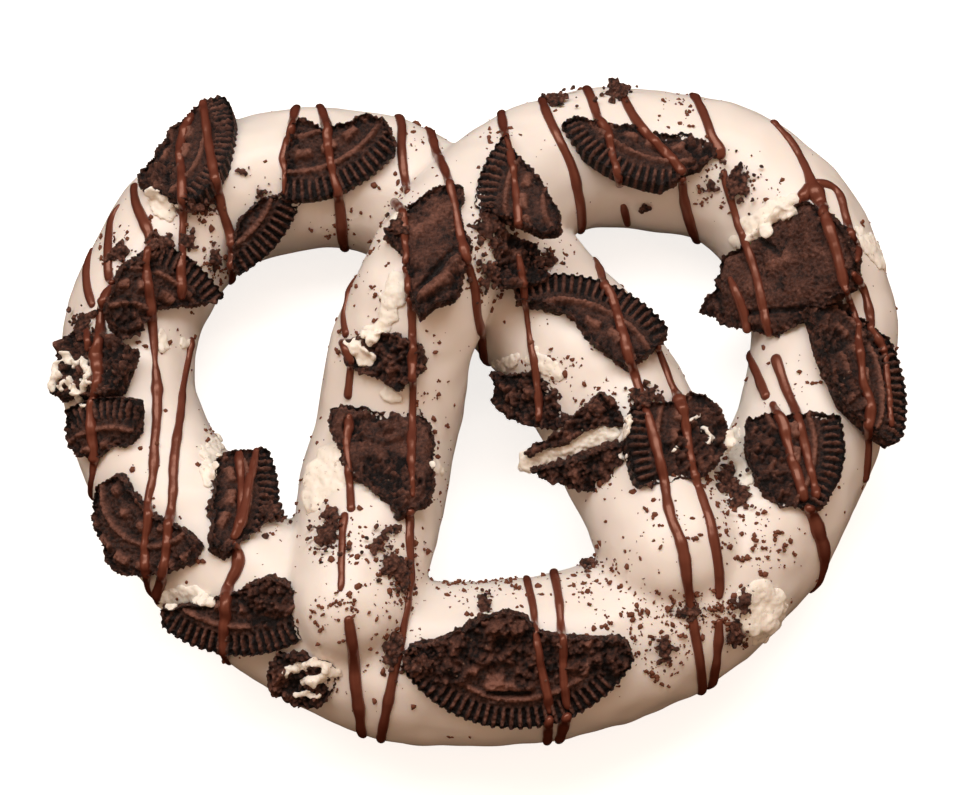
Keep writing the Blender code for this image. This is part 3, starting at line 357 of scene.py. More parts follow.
# Smears of filling on the coating: the points that each runs through, as they show, and its width.
SMEARS = [
    ([(-57.5, 38.5), (-55.5, 36.5), (-54.5, 35.5)], 2.6),
    ([(-56.5, 13.5), (-56, 11.5)], 2.0),
    ([(-52.5, 12.6), (-51, 12.2)], 1.6),
    ([(-46.8, -5.2), (-47.4, -8.6), (-48, -12)], 2.2),
    ([(-48.5, -33), (-53, -32.5), (-56, -34)], 2.4),
    ([(-13.5, 35.5), (-14.6, 33.5)], 2.2),
    ([(-14.2, 24), (-15.2, 19.5), (-16.6, 15.5), (-19.5, 13.5)], 2.6),
    ([(-22.5, 12.2), (-21, 10.8), (-19.2, 9.6)], 2.6),
    ([(-15.8, 3.8), (-14.8, 2.8)], 2.0),
    ([(-7.6, -9.5), (-6.6, -10.2)], 1.8),
    ([(3.4, 8.2), (6.4, 9.4)], 2.0),
    ([(10.5, 9.6), (12.5, 8.8), (14.8, 7.0)], 2.4),
    ([(27.6, -0.5), (27.0, -2.4), (26.2, -4.6)], 1.2),
    ([(45.6, -3.5), (45.8, -6), (46.8, -9), (48, -12)], 2.4),
    ([(38.6, -1.2), (39.6, -0.4)], 0.9), ([(40.5, -2.8), (42, -4.2), (41.4, -5.4)], 0.9),
    ([(35.2, -6.6), (36, -6.2)], 0.8), ([(26, -7.6), (26.8, -7.8)], 1.3),
    ([(47.6, 30.6), (49.5, 33.6), (52.4, 35.4), (56.4, 36.8)], 3.0),
    ([(68.6, 31.6), (71.4, 28.6), (72.6, 26.2)], 2.6),
    ([(51.6, -32.4), (53.6, -36.6), (50.6, -39.6)], 2.8),
]

# The milk chocolate stripes: the points that each one runs through, as they show, with a third number
# where it is wider or narrower than the usual width. A stripe that starts or ends off the coating is
# carried on round its edge.
STRIPES = [
    [(-68.6, 29.4, 0.5), (-69.5, 26), (-69.5, 23), (-69.1, 21), (-68.4, 19, 0.8)],
    [(-63.6, 37.4, 0.4), (-65.1, 34.8, 0.9), (-65.6, 31), (-65.7, 27), (-65.7, 24.4), (-65.1, 23.2, 0.7)],
    [(-65.2, 22.8, 0.6), (-66.3, 20.8), (-67, 18), (-67.1, 15), (-67.6, 12.6, 1.2), (-68, 10.8, 1.5),
     (-67.6, 8, 1.3), (-67.6, 6), (-68.2, 3.5), (-68.8, 1.5), (-68.9, -1, 1.1), (-68.7, -4, 1.1),
     (-68.3, -7), (-68.2, -10), (-68.7, -13, 0.8), (-68.8, -16, 0.7), (-68.5, -18.8, 0.9)],
    [(-70.3, 17, 0.6), (-69.7, 15.2, 0.7), (-69.4, 13, 0.8), (-69.2, 11.2, 0.9)],
    [(-61, 40.8, 0.9), (-61, 38.4), (-60, 35.6, 1.1), (-58.8, 33.2, 1.2), (-58.2, 31), (-58.6, 29, 0.8),
     (-59, 27, 0.8), (-58.8, 24), (-58.3, 21), (-58, 18, 1.1), (-57.8, 15), (-57.5, 12.2, 0.9),
     (-57.4, 9, 0.6), (-57.1, 6.4, 0.9), (-57, 4.4, 1.2), (-57, 1), (-57.2, -3, 0.9), (-57.5, -5.6, 0.9),
     (-57.5, -7.4, 1.15), (-57.6, -10), (-58, -13, 0.9), (-58.8, -16.4, 0.8), (-58.5, -18.2),
     (-58.9, -21, 0.8), (-59.2, -23.4, 0.8), (-59.1, -26), (-59, -28.4, 0.9), (-58.6, -30.8, 0.8),
     (-57.8, -33, 0.8), (-57, -35)],
    [(-50.8, 53.2, 0.8), (-52, 51), (-52.8, 48, 0.9), (-53, 45.6, 0.9), (-52.6, 43, 0.9), (-52.6, 40),
     (-52.4, 37.5), (-52.3, 34, 0.8), (-52.6, 31, 0.7), (-52.5, 28.5, 0.8), (-52.8, 26), (-52.7, 23.4, 1.1),
     (-52.6, 20.4, 0.9)],
    [(-49.2, 57.4, 0.9), (-48.9, 55.4), (-48.5, 53, 0.9), (-48.1, 50), (-47.6, 47), (-47, 44),
     (-46.4, 41, 1.1), (-45.8, 38), (-45, 35), (-44.2, 33), (-43.6, 30, 1.05), (-43.6, 27, 0.9),
     (-43.8, 25, 0.9), (-43.4, 22.6), (-43.1, 20.8)],
    [(-50.8, 13.2, 0.8), (-51.4, 10, 0.85), (-52, 7, 0.8), (-52.5, 4, 0.8), (-52.8, 0, 0.9),
     (-53.4, -4, 0.9), (-53.8, -7), (-54.1, -10), (-54.1, -14, 0.9), (-54.6, -18), (-55, -21),
     (-55.4, -25, 0.9), (-55.9, -28), (-56.4, -31, 1.1), (-57.4, -33.2, 1.2), (-58.6, -35)],
    [(-42.4, -6.6, 0.9), (-42.2, -9), (-42, -12, 0.8), (-41.8, -15), (-41.7, -18, 1.2), (-42.4, -20.6),
     (-43.3, -22.3, 0.9)],
    [(-39.2, -6.6, 0.8), (-39.8, -9.4, 0.9), (-40.5, -12.2), (-41, -15, 1.1), (-41.4, -17.6, 1.1),
     (-42.2, -20.2)],
    [(-42.8, -23.4, 0.9), (-42.5, -25, 1.2), (-42.4, -26.8, 1.35), (-43, -28.6, 1.2), (-44.1, -30.2, 1.1),
     (-44.6, -32.4, 1.2), (-44.7, -34.4, 1.2), (-44.7, -36.4, 1.1), (-45.1, -39), (-45.2, -42),
     (-44.5, -44.4, 0.9), (-44, -46.8)],
    [(-32, 55.8), (-32.4, 53.6), (-32.9, 51), (-33.6, 48.6), (-34.4, 46.6, 0.9), (-34.4, 44.8, 0.9),
     (-34.1, 43, 0.6), (-34.3, 41, 0.5), (-34.4, 39, 0.4)],
    [(-28.4, 57.4), (-27.9, 55), (-27.2, 53), (-26.7, 51, 1.2), (-26.5, 48), (-26, 45, 0.9), (-25.4, 42),
     (-24.7, 39), (-24.2, 36, 1.1), (-24, 33, 1.2), (-23.8, 31, 1.1), (-23.3, 28.8), (-22.6, 26.6)],
    [(-13.9, 54.6), (-13.6, 52.6), (-13.2, 50.6), (-13.4, 48), (-13.2, 46), (-13, 43.5), (-12.6, 41.5, 0.9),
     (-12.2, 39.4, 0.8)],
    [(-14.7, 37.7, 0.9), (-13.7, 36.8), (-12.9, 35, 0.9), (-12.8, 32, 0.8), (-12.6, 29, 0.7),
     (-12.4, 26, 0.7), (-12, 22, 0.7), (-11.5, 18, 0.8), (-11.4, 15, 0.8), (-11.4, 11), (-11.3, 7, 0.9),
     (-11.3, 3, 0.7), (-11.4, -1, 0.8), (-11.5, -4.4), (-11.5, -6.4, 0.8), (-11.5, -8.6, 0.9),
     (-11.4, -11, 0.6), (-11.3, -15, 0.5)],
    [(-11.3, 53.4, 0.8), (-9.9, 52.2, 0.8), (-8.7, 51), (-7.9, 49.4), (-7.3, 47, 0.9), (-6.3, 45),
     (-5.2, 42.5, 0.9), (-4.3, 39, 0.9), (-3.6, 36), (-3.1, 33), (-2.4, 30), (-1.6, 27, 0.9),
     (-0.8, 24.4, 0.9), (-0.2, 22), (0, 19), (0.4, 16), (1.2, 13, 1.1), (1.5, 10, 1.1), (1.8, 7),
     (2.3, 4.6), (3, 2), (3.8, -0.4)],
    [(4.3, 54.8), (4.6, 53), (4.9, 51), (5.3, 49.4, 0.8), (5.9, 47.6, 0.75), (6.3, 45, 0.8), (6.8, 42, 0.7),
     (7.2, 39, 0.8), (7.5, 36), (7.7, 33.4, 0.9)],
    [(7.5, 28.6, 0.5), (8, 26, 0.8), (8.4, 23, 0.8), (8.8, 20.5, 0.8), (9, 18, 0.6), (9.4, 15, 0.6),
     (9.8, 12, 0.7), (10.4, 9.6, 0.9), (10.8, 7, 0.9), (10.9, 4, 0.8), (11.3, 1.6, 0.9), (11.1, -1.4, 0.6)],
    [(11.3, 58.2, 0.9), (11.8, 56, 0.9), (12.6, 53.5), (13.8, 51), (15.2, 48), (16.5, 45.5),
     (17.4, 43, 1.2), (18, 40, 1.2), (18.6, 37, 1.2), (18.8, 34), (19, 32, 0.9), (20.1, 30, 0.8),
     (21.2, 28, 0.8), (22, 25.5), (22.9, 23), (24, 21.4), (24.8, 19), (25.6, 16.5), (26.5, 13, 1.1),
     (27.4, 10, 1.1), (28.3, 7), (29.2, 4, 0.9), (29.9, 1.4, 0.7)],
    [(30.2, 0.9, 0.7), (31.2, -2), (32, -5, 1.1), (32.8, -8, 1.1), (33.5, -11), (33.9, -14), (34.4, -17),
     (35.3, -20), (36.3, -22, 1.2), (36.9, -24, 1.2), (37.4, -27, 1.2), (37.7, -30), (38.2, -33, 0.9),
     (38.6, -36, 0.9), (39, -39), (39.6, -42), (40, -45), (40.3, -48), (40.4, -51)],
    [(19.4, 58.8), (20.3, 56.8), (21.2, 54.5), (22, 52), (23.3, 51, 1.1), (23.9, 49, 0.9),
     (24.2, 46.5, 0.8), (24.8, 44.5, 0.9), (25.3, 43), (25.7, 40.8, 0.8)],
    [(26.2, 37.4, 0.6), (26.6, 36, 0.8), (27.1, 33.6, 0.7)],
    [(25.8, 57.6, 0.9), (27, 55), (28.4, 52.5), (30, 50.5), (31.8, 48.6), (33.8, 46.6, 1.1), (35.6, 44.6),
     (36.8, 43, 1.1)],
    [(36.8, 42, 0.8), (37.2, 38, 1.1), (38, 35, 1.1), (38.8, 32.5, 1.1), (39.7, 30.2)],
    [(38, 58.6), (39.1, 56.4), (40.4, 54), (41.6, 51), (42.3, 48.8, 1.1), (43.5, 47.4, 1.3),
     (43.6, 45.8, 1.2)],
    [(44.2, 43.4, 0.7), (44.6, 41, 0.8), (45.4, 38.5, 0.8), (46.2, 36, 0.8), (46.8, 33.5, 0.8),
     (47.8, 31.3, 0.9), (48.7, 29), (49.3, 27, 0.9), (50.2, 24, 0.9), (50.9, 21), (51.4, 18.5), (52, 16),
     (52.4, 14, 0.8)],
    [(45.2, 24.4, 0.6), (46.3, 22, 0.9), (47.4, 19.5, 1.1), (48.2, 17, 1.1), (48.4, 14.4, 0.9)],
    [(53, 52), (54.6, 50.3, 0.8), (55.8, 49), (57, 47.3), (58.2, 45.2), (59.2, 43), (59.9, 41, 1.3),
     (60.4, 39.6, 2.0), (61.3, 38, 1.6), (62, 36.4, 1.3), (62.7, 34, 1.3), (63.6, 31.4, 1.2),
     (64.4, 29, 1.1), (65, 26.5, 1.1), (65.6, 24), (66.2, 21.6, 0.7), (67, 19.2, 0.8), (67.5, 17.4, 0.9),
     (68.4, 15.4, 0.6), (68.2, 13.4, 0.8), (68.5, 11), (69, 8, 0.7), (69, 6.2, 0.8), (69.6, 4, 1.1),
     (70.5, 2), (70.4, 0, 1.1), (70.2, -3, 0.9), (70, -6, 0.9), (69.8, -9), (69.4, -12)],
    [(59.6, 40.6, 1.2), (58.4, 38.6, 1.2), (57.8, 37.6, 0.7)],
    [(60.6, 41), (62.4, 41), (64.2, 40.1), (65.2, 38.4), (65.6, 36.4), (66.3, 34), (67, 31.6), (67.9, 30),
     (68.3, 28.5, 0.9), (67.8, 26.9, 0.5)],
    [(67.2, 24.9, 0.7), (68.5, 23.4, 0.9), (69.5, 21.4, 0.9), (70, 19), (70.5, 16.6, 0.9),
     (70.7, 14.6, 0.8), (72, 13, 0.9), (72.9, 11, 0.8), (73.2, 9, 0.6), (73.4, 6.5, 0.7), (73.7, 4, 0.7),
     (73.9, 1, 0.6), (74.2, -2.4, 0.6)],
    [(48.3, 11.2), (49.4, 9, 0.9), (50.5, 6.5), (51.4, 4, 1.15), (51.9, 2.8, 1.1)],
    [(53.5, 10, 1.1), (54, 8.5, 1.1), (54.8, 6), (55.5, 4), (56.3, 2.2, 0.9), (57.1, 0.6), (57.8, -2, 0.9),
     (58.4, -4.5), (59.1, -7), (59.6, -9.5, 0.8), (60.2, -12, 0.8), (61, -14.8)],
    [(52.9, 1.9, 0.8), (53.6, 0.2), (54.9, -1.4, 1.2), (55.4, -4, 1.1), (56, -6.5), (56.7, -9, 1.1),
     (57.4, -11, 1.1), (58.1, -13.4, 1.1), (58.7, -15.4, 0.9)],
    [(59.6, -16.8), (60.4, -19.2, 1.4), (61.3, -21.8, 1.65), (62, -24.4, 1.5), (62.1, -26.8, 1.2),
     (61.6, -29), (60.8, -31.4)],
    [(32.4, 11.8, 0.8), (33.1, 9.5, 0.9), (34.1, 7), (35, 4.5, 0.9), (36, 3, 1.2), (36.7, 1.2, 1.2),
     (37.3, -1), (37.7, -4, 0.9), (38.2, -7, 0.8), (38.7, -9.5, 0.8), (39.1, -11.5, 0.9), (40, -14),
     (41, -17), (41.9, -19.6, 1.1), (42.3, -22, 1.1), (42.9, -25, 1.1), (43.3, -28, 1.1), (43.5, -30.5),
     (43.4, -33, 0.8)],
    [(43.4, -37, 0.8), (43.3, -40), (42.9, -44), (42.3, -47.6), (41.9, -50.6)],
    [(30.4, 19.4, 0.8), (31.9, 17.8), (32.9, 15.6, 0.9)],
    [(8.6, -27.6), (9.1, -29.8, 0.8), (9.7, -32.4, 0.8), (10.3, -35, 0.75), (10.5, -38, 0.7),
     (10.9, -41, 0.8), (11.4, -44.5, 0.8), (12.2, -48, 0.85), (12.8, -51, 0.9), (13.1, -53.4, 0.9)],
    [(12.9, -54.6, 0.9), (12.8, -57.4), (12.6, -60.4)],
    [(13.6, -26.8), (14, -29, 0.9), (14.6, -32, 0.9), (15, -35, 0.8), (15.1, -38, 0.8), (15.5, -41, 0.8),
     (15.6, -45, 0.8), (15.8, -49, 0.85), (16.4, -52.6, 0.9)],
    [(16.1, -54, 1.1), (15.6, -56, 1.1), (15, -58), (14.6, -60.2)],
    [(-22.6, 22), (-23.1, 20, 0.6), (-23.7, 17.6, 0.7), (-23.4, 15.4, 0.8), (-23.1, 13.8, 0.9)],
    [(-24, 12.6, 0.8), (-23.1, 11.2, 0.8), (-22.4, 8.4, 0.8), (-22.6, 5.4, 0.9), (-22.9, 2.8)],
    [(-22.8, -0.2, 0.8), (-22.8, -2.4), (-23.2, -4.6, 0.9), (-23.1, -6.6, 0.9), (-22.8, -9, 0.8),
     (-22.6, -12, 0.8), (-22.4, -15, 0.8), (-22.3, -17.4, 0.9)],
    [(-23.4, -17.9, 0.8), (-23.8, -20, 0.8), (-23.9, -24, 0.7), (-24.1, -27, 0.7), (-24, -30, 0.7),
     (-24.3, -31.8, 0.5)],
    [(-22.8, -36.6, 0.9), (-22.4, -39.4, 1.1), (-21.9, -42.8, 1.1), (-21.7, -46, 1.2), (-21.4, -49.4, 1.2),
     (-20.9, -52.6, 1.2), (-20.5, -56, 1.1), (-20.2, -58.6)],
    [(-11.8, -17.4, 0.9), (-11.9, -20), (-12, -23), (-11.8, -26, 0.9), (-11.7, -29), (-12, -32, 0.9),
     (-12.4, -35, 0.9), (-13, -38, 0.8), (-13.1, -40, 0.7), (-13.8, -43, 0.8), (-14.6, -46, 0.9),
     (-15.2, -49), (-15.8, -52), (-16.4, -55), (-16.9, -57.6), (-17.2, -60)],
]

# The sides of a stripe's bead, its height as a share of its width, the share of that by which it is
# raised, the step along it, the drop that breaks it, and how far it runs on round an edge.
BEAD_SIDES = 12
BEAD_HEIGHT = 0.8
BEAD_RAISED = 0.1
STRIPE_STEP = 0.5
LONGEST_DROP = 9.0
ROUND_EDGE = 4.0

# How a stripe swells and thins along its rows: how much, how often and the row of noise.
SWELLS = [(1.3, 0.21, 0), (0.8, 0.07, 9)]

# Clumps of crumbs, as they show: across, up, reach across, reach up, how many grains, largest grain.
CLUMPS = [
    (-36, -17.6, 2.6, 2.4, 14, 1.5), (46.8, 41.2, 2.8, 3.4, 26, 1.3), (14, 55.8, 3.2, 1.3, 12, 1.4),
    (25, 57.5, 2.2, 1.8, 10, 1.6), (-26.8, -22.4, 2.2, 3.0, 18, 1.3), (-25.4, -19.4, 1.6, 3.0, 14, 1.2),
    (-15, -27.4, 2.2, 2.4, 18, 1.4), (-13.4, -29.8, 1.6, 3.0, 14, 1.2), (-17.8, -23.4, 2.2, 1.5, 10, 1.2),
    (-15.6, -21, 2.2, 1.4, 9, 1.0), (1.6, -34.1, 1.4, 1.8, 7, 1.2), (20.4, -27, 2.2, 1.4, 10, 1.2),
    (45, -12.4, 2.4, 2.8, 22, 1.4), (47.4, -15.2, 1.8, 2.4, 12, 1.4), (29.6, 2.8, 3.0, 1.8, 18, 1.3),
    (-63.8, 28.8, 1.8, 2.2, 12, 1.2), (-14, 33.6, 1.8, 2.4, 12, 1.1), (38, -35.4, 3.0, 1.6, 18, 1.1),
    (46.4, -39.2, 1.8, 2.6, 14, 1.2), (33.6, -42.2, 1.6, 3.0, 14, 1.1), (-70, 15.4, 2.2, 2.0, 14, 1.5),
    (2.4, 33.4, 3.6, 3.4, 30, 1.4), (2.6, 24.6, 2.8, 3.0, 20, 1.3), (12.2, 27.6, 2.6, 1.6, 12, 1.1),
    (-50, 37, 4.0, 1.4, 20, 1.0), (-46.8, 27.4, 1.4, 2.4, 12, 1.0), (-14.6, -42.4, 2.0, 3.4, 18, 1.3),
    (-11, -45.2, 3.0, 2.0, 18, 1.3), (-56.4, 30.2, 2.6, 1.4, 16, 1.3), (-51.8, 31, 1.6, 1.8, 12, 1.1),
    (-41.5, 43.2, 1.2, 1.0, 5, 0.9), (-38.2, 39.5, 1.3, 1.0, 6, 0.9), (30.4, 36.8, 1.0, 1.0, 4, 0.9),
    (47.6, -33.6, 1.4, 2.0, 10, 1.2), (21.8, 0.6, 1.8, 1.6, 9, 1.2), (41.8, 40.6, 1.6, 1.8, 8, 0.9),
]

# Fine crumbs, as they show: across, up, reach across, reach up, crumbs for each square centimetre.
DUSTINGS = [
    (0, 0, 90, 75, 1.2), (-63, 28, 5, 6, 26), (-56, 31, 4, 5, 14), (-50, 36, 7, 3, 60), (-46, 27, 3, 5, 44),
    (-41, 40, 4, 5, 10), (-56, 13, 4, 3, 26), (-48, -7, 3, 7, 22), (-36, -18, 5, 4, 22),
    (-52, -34, 6, 4, 34), (-42, -27, 5, 3, 8), (-22, 33, 8, 5, 9), (-10, 50, 4, 5, 12), (4, 49, 4, 3, 10),
    (-14, 40, 4, 4, 12), (-18, 22, 4, 6, 14), (-21, 12, 4, 4, 30), (-27, -10, 4, 8, 10), (-8, 4, 3, 12, 10),
    (-6, -12, 3, 14, 9), (-25, -22, 7, 7, 30), (-15, -25, 7, 7, 34), (-19, -33, 9, 5, 34),
    (-26, -36, 6, 5, 34), (-13, -42, 5, 6, 34), (-9, -31, 6, 4, 18), (2, -32, 9, 4, 26),
    (16, -32, 7, 4, 14), (24, -31, 7, 5, 20), (20, -27, 3, 3, 26), (2, 27, 7, 8, 40), (13, 27, 6, 4, 26),
    (14, 8, 7, 4, 30), (22, 3, 7, 4, 30), (12, 17, 5, 5, 6), (28, -13, 8, 6, 8), (31, -24, 8, 7, 9),
    (38, -20, 4, 6, 16), (47, -21, 7, 7, 26), (52, -25, 6, 6, 24), (44, -12, 5, 5, 34),
    (38, -35, 12, 4, 64), (46, -37, 6, 6, 60), (33, -43, 7, 6, 34), (28, -38, 8, 5, 22), (22, -47, 8, 5, 5),
    (36, 54, 5, 4, 20), (43, 41, 7, 5, 26), (52, 41, 6, 5, 6), (54, 38, 5, 3, 22), (71, 29, 4, 6, 10),
    (73, 14, 3, 8, 8), (59, 8, 6, 5, 12), (58, 3, 4, 4, 10), (63, -10, 4, 8, 5), (56, -20, 5, 5, 6),
    (45, -6, 3, 6, 12), (-60, -8, 5, 8, 3), (-33, 45, 5, 6, 5), (10, -50, 20, 4, 3), (-20, -48, 8, 6, 9),
]


def hex_colour(text):
    """A #rrggbb colour as linear red, green, blue and full opacity."""
    shares = [int(text[k : k + 2], 16) / 255 for k in (1, 3, 5)]
    return [s / 12.92 if s <= 0.04045 else ((s + 0.055) / 1.055) ** 2.4 for s in shares] + [1.0]


def add(tree, kind, inputs=None, **settings):
    """Adds a node with its settings, and gives its inputs their values or links.

    A node as a value stands for its first output.
    """
    node = tree.nodes.new(kind)
    for key, value in settings.items():
        setattr(node, key, value)
    for key, value in (inputs or {}).items():
        if isinstance(value, (bpy.types.Node, bpy.types.NodeSocket)):
            tree.links.new(value if isinstance(value, bpy.types.NodeSocket) else value.outputs[0],
                           node.inputs[key])
        else:
            node.inputs[key].default_value = value
    return node


def finish_of(name, build):
    """The material of this name, built once."""
    made = bpy.data.materials.get(name)
    if made is None:
        made = bpy.data.materials.new(name)
        made.use_nodes = True
        made.node_tree.nodes.clear()
        surface = build(made.node_tree)
        add(made.node_tree, "ShaderNodeOutputMaterial", {"Surface": surface})
    return made


def clouds(tree, place, size, detail=3.0, roughness=0.5):
    """Noise of a size in millimetres."""
    return add(tree, "ShaderNodeTexNoise", {
        "Vector": place, "Scale": 1 / (size * MM), "Detail": detail, "Roughness": roughness})


def worked(tree, operation, *values):
    """A sum, product or other operation on numbers and links."""
    return add(tree, "ShaderNodeMath", dict(enumerate(values)), operation=operation)


def ranged(tree, value, low, high, top):
    """A value turned into 0 at low and top at high, and kept between them."""
    return add(tree, "ShaderNodeMapRange", {"Value": value, "From Min": low, "From Max": high, "To Max": top})


def mixed(tree, share, one, two):
    """A share of the second colour in the first."""
    return add(tree, "ShaderNodeMix", {0: share, 6: one, 7: two}, data_type="RGBA").outputs[2]


def dented(tree, height, strength, depth):
    """A skin with dents of a depth in millimetres."""
    return add(tree, "ShaderNodeBump", {"Height": height, "Strength": strength, "Distance": depth * MM})


def white_chocolate(tree):
    """Set white chocolate: a smooth satin fat that lets a little light in. It glows where it is thin,
    and its shine is broad. The faint mottling is fat bloom, a centimetre across."""
    sizes = bpy.context.scene.pretzel_coat
    place = add(tree, "ShaderNodeTexCoord").outputs["Object"]
    return add(tree, "ShaderNodeBsdfPrincipled", {
        "Base Color": mixed(tree, clouds(tree, place, 11), sizes.colour, sizes.bloom_colour),
        "Roughness": 0.36, "IOR": 1.46, "Subsurface Weight": 0.22,
        "Subsurface Radius": (1.0, 0.62, 0.36), "Subsurface Scale": 1.6 * MM,
        "Normal": dented(tree, clouds(tree, place, 2.6, 2.0), 0.25, 0.12)})


def cocoa_wafer(tree):
    """Baked cocoa wafer: a dry, dark crumb with hardly any shine. Painted shade makes it near black in its
    grooves and pores, and painted light makes it browner on its crests and grains, over a random tone of its
    own. Pale specks a third of a millimetre across are partly sugar and partly painted glints."""
    sizes = bpy.context.scene.pretzel_cookies
    place = add(tree, "ShaderNodeTexCoord").outputs["Object"]
    broken = add(tree, "ShaderNodeAttribute", attribute_name="broken").outputs["Fac"]
    # The painted relief shade darkens the wafer where it lies low and lightens it where it stands high:
    # painted shade in grooves and pores, painted light on crests and grains.
    painted_relief_shade = add(tree, "ShaderNodeAttribute", attribute_name="painted_relief_shade").outputs["Fac"]
    lifted = worked(tree, "MULTIPLY_ADD", painted_relief_shade, 0.46, -0.3)
    coarse = worked(tree, "ADD", clouds(tree, place, 1.5, 6.0, 0.7), lifted)
    uneven = worked(tree, "MULTIPLY_ADD", clouds(tree, place, 0.42, 3.0, 0.7), 0.6, coarse)
    tint = add(tree, "ShaderNodeValToRGB", {"Fac": uneven})
    ramp = tint.color_ramp
    ramp.elements[0].position, ramp.elements[0].color = 0.24, sizes.dark_colour
    ramp.elements[1].position, ramp.elements[1].color = 0.92, sizes.pale_colour
    ramp.elements.new(0.54).color = sizes.colour
    # Pale specks painted into the colour: partly sugar and crumbs of filling, partly painted glints of the
    # sugar.
    sugar = add(tree, "ShaderNodeTexVoronoi", {"Vector": place, "Scale": 1 / (0.95 * MM)})
    chance = worked(tree, "GREATER_THAN", sugar.outputs["Color"], 0.8)
    shown = worked(tree, "MULTIPLY", ranged(tree, sugar, 0.24, 0.12, 0.7), chance)
    sugar_and_glints = worked(tree, "MULTIPLY", shown, worked(tree, "MULTIPLY_ADD", broken, 0.7, 0.15))
    depth = worked(tree, "MULTIPLY_ADD", broken, 0.4, 0.6)
    height = worked(tree, "MULTIPLY", clouds(tree, place, 0.5, 4.0, 0.75), depth)
    return add(tree, "ShaderNodeBsdfPrincipled", {
        "Base Color": mixed(tree, sugar_and_glints, tint, hex_colour("#b4937c")),
        "Roughness": 0.52, "IOR": 1.42, "Specular IOR Level": 0.55,
        "Normal": dented(tree, height, 1.0, 0.8)})


def loose_crumb(tree):
    """Fine cocoa crumb: too small for pores to show, so it is an even warm brown from grain to grain."""
    sizes = bpy.context.scene.pretzel_crumbs
    place = add(tree, "ShaderNodeTexCoord").outputs["Object"]
    return add(tree, "ShaderNodeBsdfPrincipled", {
        "Base Color": mixed(tree, clouds(tree, place, 0.7), sizes.dark_colour, sizes.colour),
        "Roughness": 0.8, "IOR": 1.42, "Specular IOR Level": 0.3})


def milk_chocolate(tree):
    """Piped milk chocolate, set in air: smooth and glossy, with a small soft ripple along each bead."""
    sizes = bpy.context.scene.pretzel_stripes
    place = add(tree, "ShaderNodeTexCoord").outputs["Object"]
    return add(tree, "ShaderNodeBsdfPrincipled", {
        "Base Color": mixed(tree, clouds(tree, place, 4), sizes.colour, sizes.dark_colour),
        "Roughness": 0.28, "IOR": 1.46, "Specular IOR Level": 1.0, "Specular Tint": hex_colour("#ffbfa4"),
        "Normal": dented(tree, clouds(tree, place, 1.5, 1.0), 0.4, 0.2)})


def vanilla_filling(tree):
    """Vanilla filling: a matt paste of fat and sugar, pale, grainy, with crumbs rubbed into it."""
    sizes = bpy.context.scene.pretzel_filling
    place = add(tree, "ShaderNodeTexCoord").outputs["Object"]
    dirt = ranged(tree, clouds(tree, place, 1.1, 3.0, 0.6), 0.62, 0.7, 0.45)
    return add(tree, "ShaderNodeBsdfPrincipled", {
        "Base Color": mixed(tree, dirt, sizes.colour, sizes.crumb_colour),
        "Roughness": 0.62, "IOR": 1.45, "Subsurface Weight": 0.2,
        "Subsurface Radius": (1.0, 0.7, 0.5), "Subsurface Scale": 1.0 * MM,
        "Normal": dented(tree, clouds(tree, place, 0.6), 0.4, 0.16)})


def matt_paper(tree):
    """A studio floor of matt white paper over a light box, so that its shadows stay pale."""
    place = add(tree, "ShaderNodeTexCoord").outputs["Object"]
    return add(tree, "ShaderNodeBsdfPrincipled", {
        "Base Color": mixed(tree, clouds(tree, place, 3), hex_colour("#d2cfcc"), hex_colour("#d5d3d0")),
        "Roughness": 0.95, "Specular IOR Level": 0.1, "Emission Color": hex_colour("#fffdfa"),
        "Emission Strength": bpy.context.scene.pretzel_stage.glow})


def mesh_object(name, shape):
    """A linked object that takes a bmesh, with its faces pointing outwards."""
    bmesh.ops.recalc_face_normals(shape, faces=shape.faces)
    mesh = bpy.data.meshes.new(name)
    shape.to_mesh(mesh)
    shape.free()
    thing = bpy.data.objects.new(name, mesh)
    bpy.context.scene.collection.objects.link(thing)
    return thing


def bake(thing):
    """Turns an object's modifiers into plain mesh."""
    evaluated = thing.evaluated_get(bpy.context.evaluated_depsgraph_get())
    made = bpy.data.meshes.new_from_object(evaluated)
    old = thing.data
    thing.modifiers.clear()
    thing.data = made
    bpy.data.meshes.remove(old)


def remeshed(thing, voxel, smoothing):
    """Gives a closed mesh even quads of one size, then smooths it."""
    fuse = thing.modifiers.new("fuse", "REMESH")
    fuse.mode = "VOXEL"
    fuse.voxel_size = voxel * MM * 1
    if smoothing:
        thing.modifiers.new("relax", "SMOOTH").iterations = smoothing
    bake(thing)


def drop(thing):
    """Removes a helper object and its mesh."""
    mesh = thing.data
    bpy.data.objects.remove(thing)
    bpy.data.meshes.remove(mesh)


def points_of(mesh):
    """The places and normals of a mesh's vertices."""
    count = len(mesh.vertices)
    places, normals = np.empty(count * 3), np.empty(count * 3)
    mesh.vertices.foreach_get("co", places)
    mesh.vertex_normals.foreach_get("vector", normals)
    return places.reshape(-1, 3), normals.reshape(-1, 3)


def move_points(mesh, places):
    """Puts a mesh's vertices at new places."""
    mesh.vertices.foreach_set("co", places.ravel())
    mesh.update()


def perlin(places, size, seed=0):
    """Smooth noise about -0.5 to 0.5 at each place, with lumps of about the size in millimetres."""
    scaled = places / (size * MM) + seed * 7.3
    return np.array([noise.noise(Vector(p)) for p in scaled])


def granules(places, size, seed=0):
    """Rounded grains: 1 at the middle of each, down to about 0 between them."""
    scaled = places / (size * MM) + seed * 5.1
    return 1 - np.clip([noise.voronoi(Vector(p))[0][0] for p in scaled], 0, 1)


def ease(low, high, value):
    """0 below low, 1 above high, smooth between."""
    share = np.clip((value - low) / (high - low), 0, 1)
    return share * share * (3 - 2 * share)


